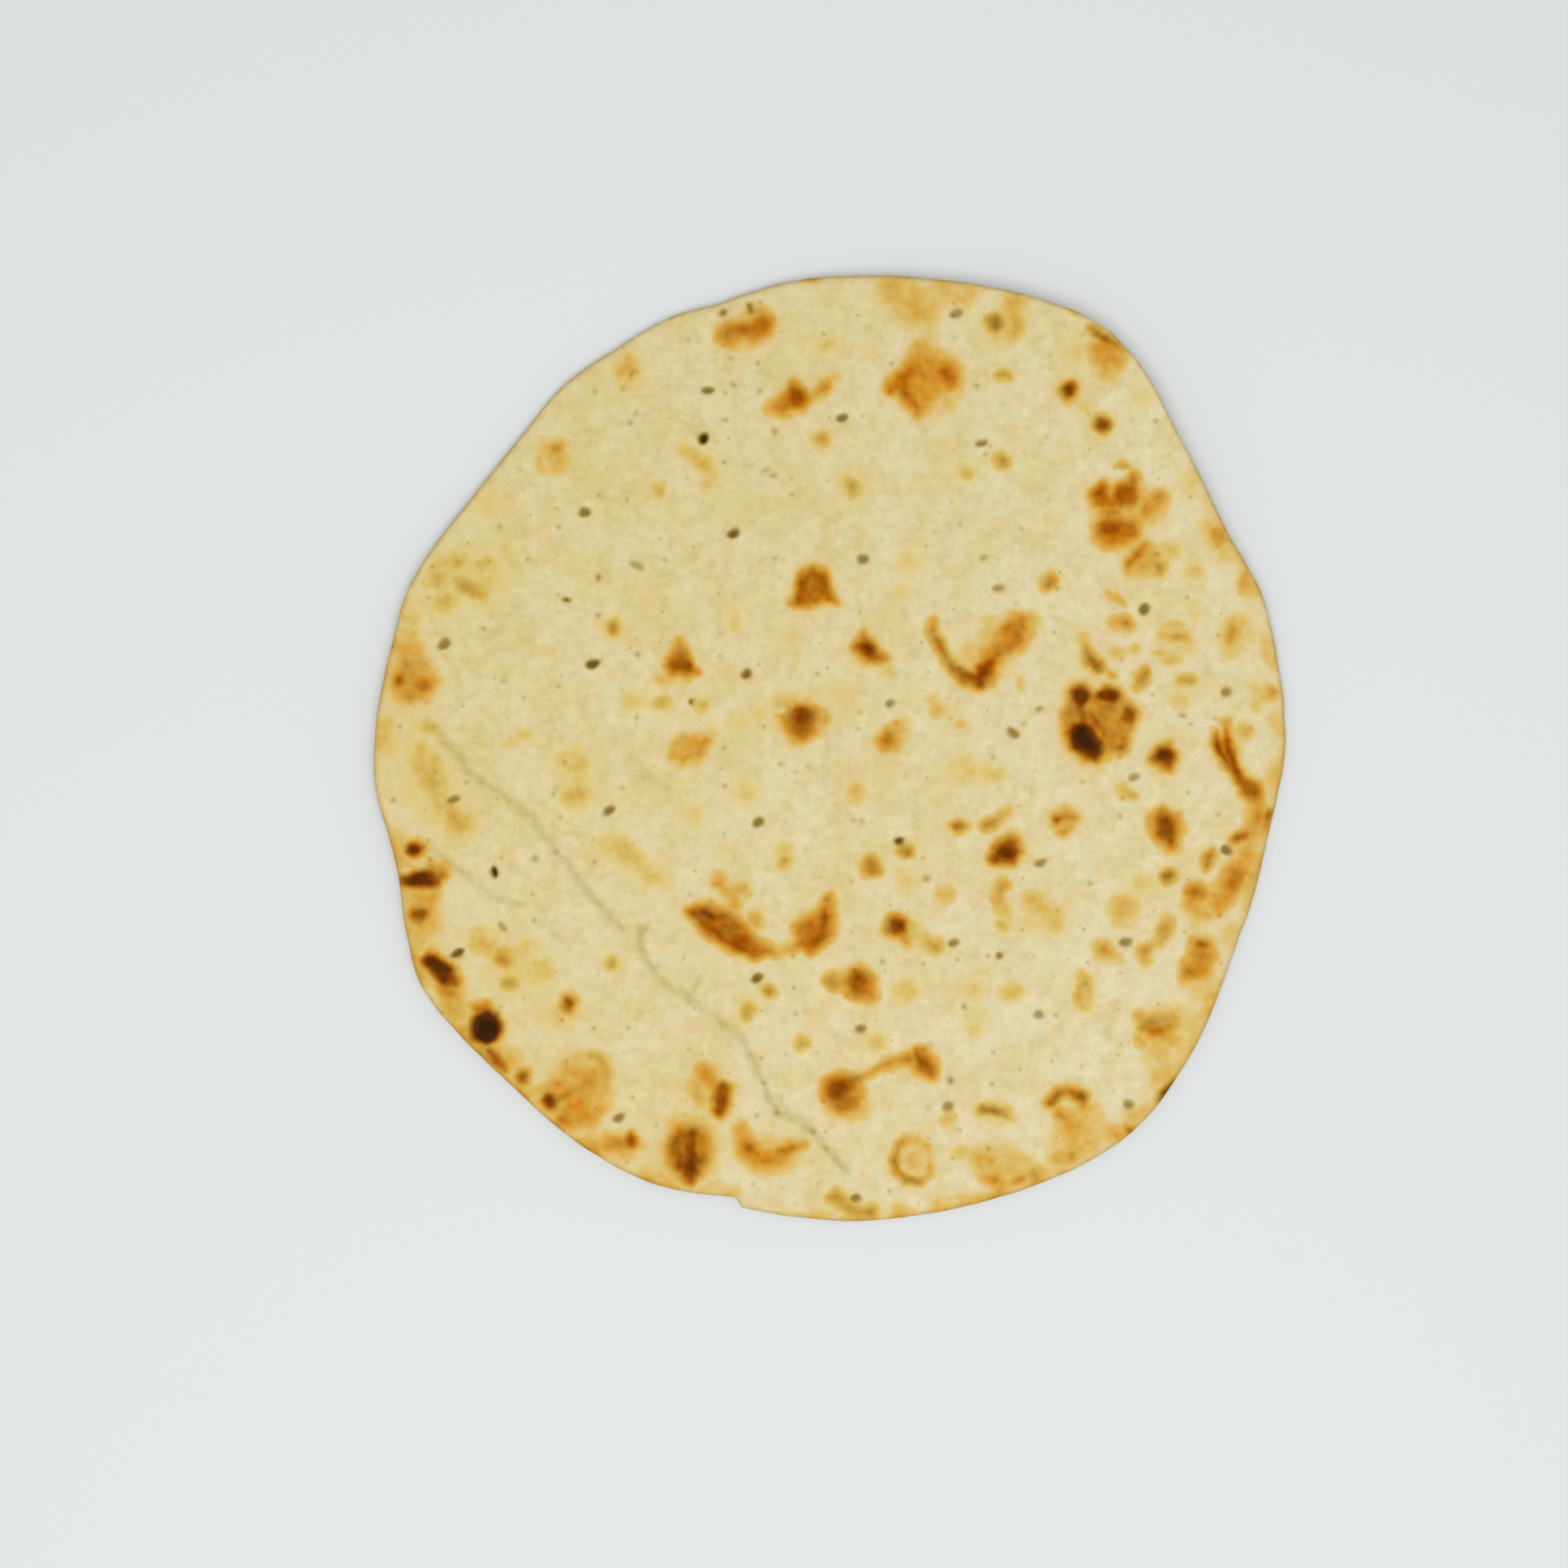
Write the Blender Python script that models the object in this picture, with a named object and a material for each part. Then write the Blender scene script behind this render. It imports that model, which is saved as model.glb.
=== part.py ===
"""Pita bread: one thin, round flatbread, docked all over, blistered, and creased across one side.

Metres, +Z up. The bread lies flat, baked face up, with +Y along its long way and +X to its right.
The origin is under the middle of its box, on the surface that the bread rests on.
"""

import math

import bpy
from mathutils import Vector, noise
from mathutils.geometry import delaunay_2d_cdt

MM = 0.001
RADIUS = 120 * MM  # the mean radius: the outline and every place on the bread are shares of it
THICKNESS = 3.3 * MM  # of the dough in the middle
RIM_THICKNESS = 2.5 * MM  # of the dough behind its rounded edge
LIP = 2.4 * MM  # how far in from the outline the edge is rounded

# The hand-rolled outline: (bearing in degrees from +X, share of RADIUS).
OUTLINE = (
    (0, 0.976), (11, 0.983), (20, 0.987), (28, 0.973), (36, 0.984), (43, 1.008),
    (50, 1.050), (57, 1.076), (64, 1.065), (73, 1.044), (85, 1.022), (95, 1.010),
    (104, 0.990), (110, 0.993), (118, 0.981), (126, 0.974), (134, 0.951), (142, 0.943),
    (150, 0.952), (158, 0.970), (167, 0.970), (176, 0.978), (184, 0.982), (191, 0.972),
    (196, 0.970), (203, 0.993), (210, 1.016), (217, 1.006), (226, 0.997), (237, 1.008),
    (248, 1.013), (258, 0.990), (266, 0.996), (274, 1.004), (283, 1.029), (294, 1.042),
    (304, 1.052), (311, 1.046), (318, 1.025), (326, 1.000), (333, 0.974), (341, 0.968),
    (350, 0.965),
)
TEAR_BEARING = 258.0  # where a torn tab steps out of the near edge
TEAR_STEP = 0.019  # how far it steps out, as a share of RADIUS
TEAR_FADE = 20.0  # degrees over which the tab's edge joins the outline again

# The baked edge curls up off the table in places: (bearing, spread in degrees, rise).
CURLS = ((52, 34, 4.6 * MM), (172, 30, 2.4 * MM), (318, 26, 1.8 * MM))
FLAT_SHARE = 0.5  # the middle of the bread, out to here, lies flat on the table
FLAP_SLOPE = 0.035  # how the dough past the main crease rises

# Creases where the bread was folded, as shares of RADIUS.
MAIN_CREASE = (
    (-0.86, 0.06), (-0.74, -0.07), (-0.63, -0.17), (-0.57, -0.25), (-0.49, -0.33),
    (-0.42, -0.42), (-0.34, -0.51), (-0.21, -0.66), (-0.14, -0.77), (-0.07, -0.81),
    (0.04, -0.91),
)
SIDE_CREASE = ((-0.88, -0.19), (-0.81, -0.24), (-0.73, -0.29), (-0.65, -0.33))
CREASE_DEPTH = 0.5 * MM
CREASE_HALF_WIDTH = 1.3 * MM

# Holes from the docking roller, row by row from the far edge, as shares of RADIUS.
DOCKING_HOLES = (
    (0.271, 0.939),
    (-0.263, 0.775), (0.025, 0.715), (0.325, 0.661),
    (-0.274, 0.673), (-0.531, 0.512), (-0.208, 0.466), (0.069, 0.408), (0.363, 0.350), (0.678, 0.303),
    (-0.832, 0.228), (-0.513, 0.184), (-0.183, 0.163), (0.132, 0.100), (0.392, 0.035), (0.654, -0.058),
    (0.857, 0.125), (-0.809, -0.106), (-0.479, -0.133), (-0.156, -0.158), (0.149, -0.198), (0.453, -0.246),
    (0.856, -0.217), (-0.725, -0.267), (-0.803, -0.438), (-0.157, -0.492), (0.266, -0.416),
    (0.363, -0.446), (0.638, -0.417), (0.067, -0.603), (0.449, -0.571),
    (-0.454, -0.794), (0.253, -0.773), (0.643, -0.765), (0.057, -0.968),
)
HOLE_DEPTH = 1.7 * MM
HOLE_RADIUS = 1.3 * MM  # of its mouth
HOLE_FLOOR_RADIUS = 0.6 * MM
MOUTH_CORNERS = 8
FLOOR_CORNERS = 5

# Blisters large enough to feel: (x and y as shares of RADIUS, radius, height).
BLISTERS = (
    (0.20, 0.80, 11 * MM, 1.0 * MM),
    (-0.18, 0.91, 8 * MM, 0.7 * MM),
    (-0.08, 0.76, 8 * MM, 0.7 * MM),
    (-0.04, 0.35, 7.5 * MM, 0.8 * MM),
    (-0.32, 0.19, 6 * MM, 0.6 * MM),
    (0.08, 0.21, 6 * MM, 0.5 * MM),
    (-0.07, 0.06, 7 * MM, 0.7 * MM),
    (0.33, 0.19, 10 * MM, 0.7 * MM),
    (0.63, 0.51, 11 * MM, 1.0 * MM),
    (0.58, 0.06, 12 * MM, 1.3 * MM),
    (0.72, -0.17, 7 * MM, 0.7 * MM),
    (-0.20, -0.39, 9 * MM, 0.8 * MM),
    (-0.03, -0.39, 8 * MM, 0.8 * MM),
    (0.05, -0.50, 6 * MM, 0.6 * MM),
    (0.03, -0.73, 8 * MM, 0.8 * MM),
    (0.19, -0.69, 6 * MM, 0.6 * MM),
    (-0.53, -0.72, 11 * MM, 1.1 * MM),
    (-0.31, -0.86, 8 * MM, 1.0 * MM),
    (0.17, -0.89, 7 * MM, 0.8 * MM),
    (0.52, -0.77, 8 * MM, 0.8 * MM),
    (-0.74, -0.59, 6 * MM, 0.8 * MM),
    (-0.84, -0.50, 6 * MM, 0.8 * MM),
    (-0.90, 0.19, 7 * MM, 0.7 * MM),
    (-0.79, 0.36, 9 * MM, 0.6 * MM),
)

UNEVEN = 0.22 * MM  # how much the dough's thickness wanders
UNEVEN_SPAN = 22 * MM  # over this distance

RIM_POINTS = 168  # round the outline
RIM_INSETS = (0, 0.12, 0.45, 1.0)  # rings of points round the edge, as shares of LIP
TOP_SPACING = 4.3 * MM  # between the points of the baked face
UNDER_SPACING = 8.6 * MM  # between those of the underside
CLEAR_OF_HOLE = 3.2 * MM  # the lattice's points keep this far from a hole's middle
CLEAR_OF_CREASE = 2.6 * MM
NEAR = 1e-7  # points closer than this are one point


def clear_scene():
    for obj in list(bpy.data.objects):
        bpy.data.objects.remove(obj)


def placed(share):
    """A point given as shares of RADIUS, in metres."""
    return Vector((share[0] * RADIUS, share[1] * RADIUS))


def polar(radius, bearing):
    """A point at this distance and bearing, in metres and degrees."""
    turn = math.radians(bearing)
    return Vector((radius * math.cos(turn), radius * math.sin(turn)))


def bearing_of(point):
    return math.degrees(math.atan2(point.y, point.x)) % 360


def angle_between(bearing, other):
    """The smaller angle between two bearings, in degrees."""
    return abs((bearing - other + 180) % 360 - 180)


def smooth_step(value, start, end):
    t = min(1.0, max(0.0, (value - start) / (end - start)))
    return t * t * (3 - 2 * t)


def tear_share(bearing):
    """How far the torn tab stands out of the smooth outline, as a share of RADIUS."""
    past = bearing - TEAR_BEARING
    if not 0 < past < TEAR_FADE:
        return 0.0
    return TEAR_STEP * smooth_step(past, 0, 1) * smooth_step(past, TEAR_FADE, 0.3 * TEAR_FADE)


def outline_radius(bearing):
    """The distance from the middle to the edge: a smooth closed curve through OUTLINE, and the tear."""
    bearing %= 360
    count = len(OUTLINE)
    after = next((i for i, point in enumerate(OUTLINE) if point[0] > bearing), count)
    knots = []
    for i in range(after - 2, after + 2):
        knots.append((OUTLINE[i % count][0] + 360 * (i // count), OUTLINE[i % count][1]))
    (b0, r0), (b1, r1), (b2, r2), (b3, r3) = knots
    span = b2 - b1
    slope_in = (r2 - r0) / (b2 - b0) * span
    slope_out = (r3 - r1) / (b3 - b1) * span
    t = (bearing - b1) / span
    share = (
        (2 * t**3 - 3 * t**2 + 1) * r1
        + (t**3 - 2 * t**2 + t) * slope_in
        + (3 * t**2 - 2 * t**3) * r2
        + (t**3 - t**2) * slope_out
    )
    return (share + tear_share(bearing)) * RADIUS


def share_out(point):
    """0 in the middle of the bread and 1 on its outline."""
    return point.length / outline_radius(bearing_of(point))


def distance_to_line(point, line):
    best = math.inf
    for start, end in zip(line, line[1:]):
        along = end - start
        t = max(0.0, min(1.0, (point - start).dot(along) / along.length_squared))
        best = min(best, (point - start - along * t).length)
    return best


def crease_line(shares):
    """The crease as a chain of points, no two further apart than TOP_SPACING."""
    corners = [placed(share) for share in shares]
    line = [corners[0]]
    for start, end in zip(corners, corners[1:]):
        steps = math.ceil((end - start).length / TOP_SPACING)
        line += [start.lerp(end, i / steps) for i in range(1, steps + 1)]
    return line


HOLES = [placed(share) for share in DOCKING_HOLES]
CREASES = [crease_line(MAIN_CREASE), crease_line(SIDE_CREASE)]


def distance_to_hole(point):
    return min((point - hole).length for hole in HOLES)


def lift(point):
    """How far the underside stands off the table."""
    outwards = max(0.0, (share_out(point) - FLAT_SHARE) / (1 - FLAT_SHARE))
    bearing = bearing_of(point)
    rise = 0.0
    for middle, spread, height in CURLS:
        rise += height * outwards**2 * math.exp(-((angle_between(bearing, middle) / spread) ** 2))
    start, end = placed(MAIN_CREASE[0]), placed(MAIN_CREASE[-1])
    along = (end - start).normalized()
    past_crease = (point - start).dot(Vector((along.y, -along.x)))
    return rise + FLAP_SLOPE * max(0.0, past_crease)


def thickness(point):
    dough = THICKNESS + (RIM_THICKNESS - THICKNESS) * smooth_step(share_out(point), 0.6, 1.0)
    return dough + UNEVEN * noise.noise(Vector((point.x, point.y, 0)) / UNEVEN_SPAN)


def fullness(point):
    """How much of the half thickness is left here: 0 on the outline, 1 past the rounded lip."""
    inset = outline_radius(bearing_of(point)) - point.length
    inwards = min(1.0, max(0.0, inset / LIP))
    return math.sqrt(1 - (1 - inwards) ** 2)


def relief(point):
    """Blisters up and creases down, on the baked face."""
    height = 0.0
    for x, y, radius, rise in BLISTERS:
        away = (point - placed((x, y))).length / radius
        if away < 1:
            height += rise * (1 - away**2) ** 2
    for line in CREASES:
        away = distance_to_line(point, line) / CREASE_HALF_WIDTH
        if away < 1:
            height -= CREASE_DEPTH * (1 - away)
    return height


def baked_height(point):
    half = thickness(point) / 2
    height = lift(point) + half + (half + relief(point)) * fullness(point)
    if distance_to_hole(point) < (HOLE_RADIUS + HOLE_FLOOR_RADIUS) / 2:
        height -= HOLE_DEPTH
    return height


def under_height(point):
    return lift(point) + thickness(point) / 2 * (1 - fullness(point))


def rim_ring(inset):
    """A ring of points round the bread, this far in from its outline, with a point at the tear."""
    ring = []
    for i in range(RIM_POINTS):
        bearing = TEAR_BEARING + 360 * i / RIM_POINTS
        ring.append(polar(outline_radius(bearing) - inset, bearing))
    return ring


def lattice(spacing):
    """A triangular lattice of points inside the rings of the edge."""
    points = []
    row_height = spacing * math.sqrt(3) / 2
    columns = math.ceil(1.2 * RADIUS / spacing)
    rows = math.ceil(1.2 * RADIUS / row_height)
    for row in range(-rows, rows + 1):
        for column in range(-columns, columns + 1):
            point = Vector(((column + 0.5 * (row % 2)) * spacing, row * row_height))
            if point.length < outline_radius(bearing_of(point)) - LIP - 0.5 * spacing:
                points.append(point)
    return points


def triangulated(chains, loose, height_of):
    """(points, triangles) of the face inside the rings of the edge, through every chain and loose point."""
    points = []
    edges = []
    for inset in RIM_INSETS:
        first = len(points)
        points += rim_ring(inset * LIP)
        edges += [(first + i, first + (i + 1) % RIM_POINTS) for i in range(RIM_POINTS)]
    for chain in chains:
        first = len(points)
        points += chain
        edges += [(first + i, first + i + 1) for i in range(len(chain) - 1)]
    flat, _, faces, _, _, _ = delaunay_2d_cdt(points + loose, edges, [], 1, NEAR)
    return [Vector((point.x, point.y, height_of(point))) for point in flat], faces


def baked_face():
    loose = []
    for point in lattice(TOP_SPACING):
        off_holes = distance_to_hole(point) > CLEAR_OF_HOLE
        off_creases = min(distance_to_line(point, line) for line in CREASES) > CLEAR_OF_CREASE
        if off_holes and off_creases:
            loose.append(point)
    for hole in HOLES:
        loose += [hole + polar(HOLE_RADIUS, 360 * i / MOUTH_CORNERS) for i in range(MOUTH_CORNERS)]
        loose += [hole + polar(HOLE_FLOOR_RADIUS, 360 * i / FLOOR_CORNERS) for i in range(FLOOR_CORNERS)]
    return triangulated(CREASES, loose, baked_height)


def underside():
    return triangulated([], lattice(UNDER_SPACING), under_height)


def bread_mesh():
    """Both faces, sharing the points of the outline, with the box's middle over the origin."""
    vertices, faces = baked_face()
    faces = list(faces)
    outline = {point.freeze() for point in rim_ring(0)}
    on_outline = {point.to_2d().freeze(): i for i, point in enumerate(vertices)}
    on_outline = {place: i for place, i in on_outline.items() if place in outline}
    under_points, under_faces = underside()
    places = []
    for point in under_points:
        shared = on_outline.get(point.to_2d().freeze())
        places.append(len(vertices) if shared is None else shared)
        if shared is None:
            vertices.append(point)
    faces += [[places[corner] for corner in reversed(face)] for face in under_faces]
    middle_x = (max(v.x for v in vertices) + min(v.x for v in vertices)) / 2
    middle_y = (max(v.y for v in vertices) + min(v.y for v in vertices)) / 2
    middle = Vector((middle_x, middle_y, 0))
    mesh = bpy.data.meshes.new("bread")
    mesh.from_pydata([v - middle for v in vertices], [], faces)
    mesh.shade_smooth()
    mesh.set_sharp_from_angle(angle=math.radians(50))
    return mesh


def crust_material():
    material = bpy.data.materials.new("baked_crust")
    material.use_nodes = True
    shader = material.node_tree.nodes["Principled BSDF"]
    shader.inputs["Base Color"].default_value = (0.76, 0.61, 0.32, 1)
    shader.inputs["Roughness"].default_value = 0.85
    shader.inputs["Metallic"].default_value = 0.0
    return material


def build():
    clear_scene()
    mesh = bread_mesh()
    mesh.materials.append(crust_material())
    bread = bpy.data.objects.new("bread", mesh)
    bpy.context.scene.collection.objects.link(bread)


build()
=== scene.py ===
"""Pita bread: one thin, round flatbread, docked all over, scorched in blisters and creased across one side.

Metres, +Z up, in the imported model's frame. Places on the bread are given in millimetres from the middle
of its box, on a bread of the size that REFERENCE_SIZE states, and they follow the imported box.
"""

import math

import bpy
import numpy as np
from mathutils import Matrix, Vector, noise
from mathutils.geometry import delaunay_2d_cdt


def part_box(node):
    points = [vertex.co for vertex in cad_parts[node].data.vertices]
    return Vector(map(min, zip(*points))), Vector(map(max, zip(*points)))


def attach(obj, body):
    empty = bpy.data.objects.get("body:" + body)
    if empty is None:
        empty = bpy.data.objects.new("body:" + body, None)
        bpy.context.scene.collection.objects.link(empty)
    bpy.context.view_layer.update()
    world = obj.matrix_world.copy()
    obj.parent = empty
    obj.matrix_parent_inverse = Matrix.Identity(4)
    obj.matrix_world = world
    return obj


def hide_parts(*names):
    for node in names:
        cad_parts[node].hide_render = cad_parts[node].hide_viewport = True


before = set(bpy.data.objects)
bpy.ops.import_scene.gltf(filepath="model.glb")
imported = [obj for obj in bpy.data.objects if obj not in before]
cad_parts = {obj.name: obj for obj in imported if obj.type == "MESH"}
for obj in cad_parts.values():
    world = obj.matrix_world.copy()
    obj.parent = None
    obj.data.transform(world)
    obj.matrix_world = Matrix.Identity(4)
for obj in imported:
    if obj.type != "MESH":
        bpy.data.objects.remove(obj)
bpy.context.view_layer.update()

REFERENCE_SIZE = (235.0, 243.6)  # the box that the places below were laid out on
SEED = 7
MM = 0.001

# ---------------- the form, in millimetres
RADIUS = 120.0  # the outline and the creases are shares of it
THICKNESS = 3.3
RIM_THICKNESS = 2.5
LIP = 2.4

# The hand-rolled outline: (bearing in degrees from +X, share of RADIUS).
OUTLINE = (
    (0, 0.980), (11, 0.984), (20, 0.988), (28, 0.975), (36, 0.987), (43, 1.013),
    (50, 1.055), (57, 1.082), (64, 1.073), (73, 1.050), (85, 1.028), (95, 1.017),
    (104, 0.997), (110, 0.999), (118, 0.986), (126, 0.979), (134, 0.956), (142, 0.948),
    (150, 0.957), (158, 0.975), (167, 0.975), (176, 0.982), (184, 0.985), (191, 0.972),
    (196, 0.971), (203, 0.995), (210, 1.019), (217, 1.009), (226, 0.999), (237, 1.008),
    (248, 1.010), (258, 0.988), (266, 0.993), (274, 1.016), (283, 1.024), (294, 1.035),
    (304, 1.048), (311, 1.044), (318, 1.021), (326, 0.994), (333, 0.972), (341, 0.965),
    (350, 0.963),
)
TEAR_BEARING = 258.0
TEAR_STEP = 0.019
TEAR_FADE = 20.0
TEAR_EASE = 0.7  # share of that over which the tab dies away
EDGE_UNEVEN = 0.16  # how far the outline wanders between those points
EDGE_UNEVEN_SPAN = 5.0
EDGE_UNEVEN_REACH = 5.0  # the dough this far in goes with it

CURLS = ((52, 34, 4.6), (172, 30, 2.4), (318, 26, 1.8))  # (bearing, spread in degrees, rise)
FLAT_SHARE = 0.5
FLAP_SLOPE = 0.035
FLAP_LINE = ((-103.2, 7.2), (4.8, -109.2))  # the dough to its left and below rises
UNEVEN = 0.22
UNEVEN_SPAN = 22.0
THINS_FROM = 0.6  # the dough thins from here, as a share of the way out

# Fine relief of the baked face.
SCORCH_RISE = 0.42  # how high a scorched place stands
FULLY_RISEN = 0.8  # from this tone on
RIPPLES = ((7.0, 0.10), (3.1, 0.055), (1.5, 0.022))  # (span, height)

# Blisters: (x, y, radius, rise).
BLISTERS = (
    (24, 96, 11, 1.0), (-21.6, 109, 8, 0.7), (-9.6, 91, 8, 0.7), (-4.4, 42, 7.5, 0.8),
    (-38.4, 22.5, 6, 0.6), (9.6, 25.6, 6, 0.5), (-8, 7.5, 7, 0.7), (40, 23, 10, 0.7),
    (75.5, 61.5, 11, 1.0), (69.4, 7, 12, 1.3), (86.8, -20.4, 7, 0.7), (-25, -47, 9, 0.8),
    (-4, -47, 8, 0.8), (6.6, -60, 6, 0.6), (3, -88.5, 8, 0.8), (23, -82.5, 6, 0.6),
    (-64, -87, 11, 1.1), (-37, -103.5, 8, 1.0), (20.5, -107, 7, 0.8), (62, -92.8, 8, 0.8),
    (-89, -71, 6, 0.8), (-101, -57, 6, 0.8), (-108, 19, 7, 0.7), (-94.5, 43, 9, 0.6),
    (17, -46, 5, 0.5), (45.5, -26.5, 5.5, 0.6), (87, -1.6, 5, 0.5), (-36.6, 0, 6.5, 0.5),
    (105, -34.5, 6, 0.6), (96, -54, 6, 0.5), (-28.2, -91, 5, 0.5), (-16, -105, 8, 0.5),
)


# ---------------- scorch marks, in millimetres from the middle
BLUR = 1.6  # how much softer every edge is than its mark says
FALL = 1.6  # how wide an edge is for its softness, where the mark is faint
FALL_BY_TONE = 0.65  # how much narrower it is where the mark is black
EDGE_AT = 0.62  # where in that fall the drawn edge lies
HALO = 0.2
HALO_SPAN = 2.8
HALO_FROM = 0.3  # marks paler than this have none
BLEND_POWER = 6.0
STRAY = ((3.6, 0.55), (1.6, 0.16))  # (span, distance) by which marks stray from their drawn edges


def stroke(tone, soft, warm, *points):
    """A line through points (x, y, width); tone is one number or one for each point."""
    tones = tone if isinstance(tone, tuple) else [tone] * len(points)
    chain = [(x, y, wide / 2, t) for (x, y, wide), t in zip(points, tones)]
    return ("stroke", chain, None, soft * BLUR, warm)


def dab(tone, soft, warm, x, y, wide, high=None, turn=0):
    """An oval, turned by this many degrees."""
    return ("dab", [(x, y, wide / 2, (high or wide) / 2, turn)], tone, soft * BLUR, warm)


def patch(tone, soft, warm, *corners):
    return ("patch", corners, tone, soft * BLUR, warm)


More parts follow.
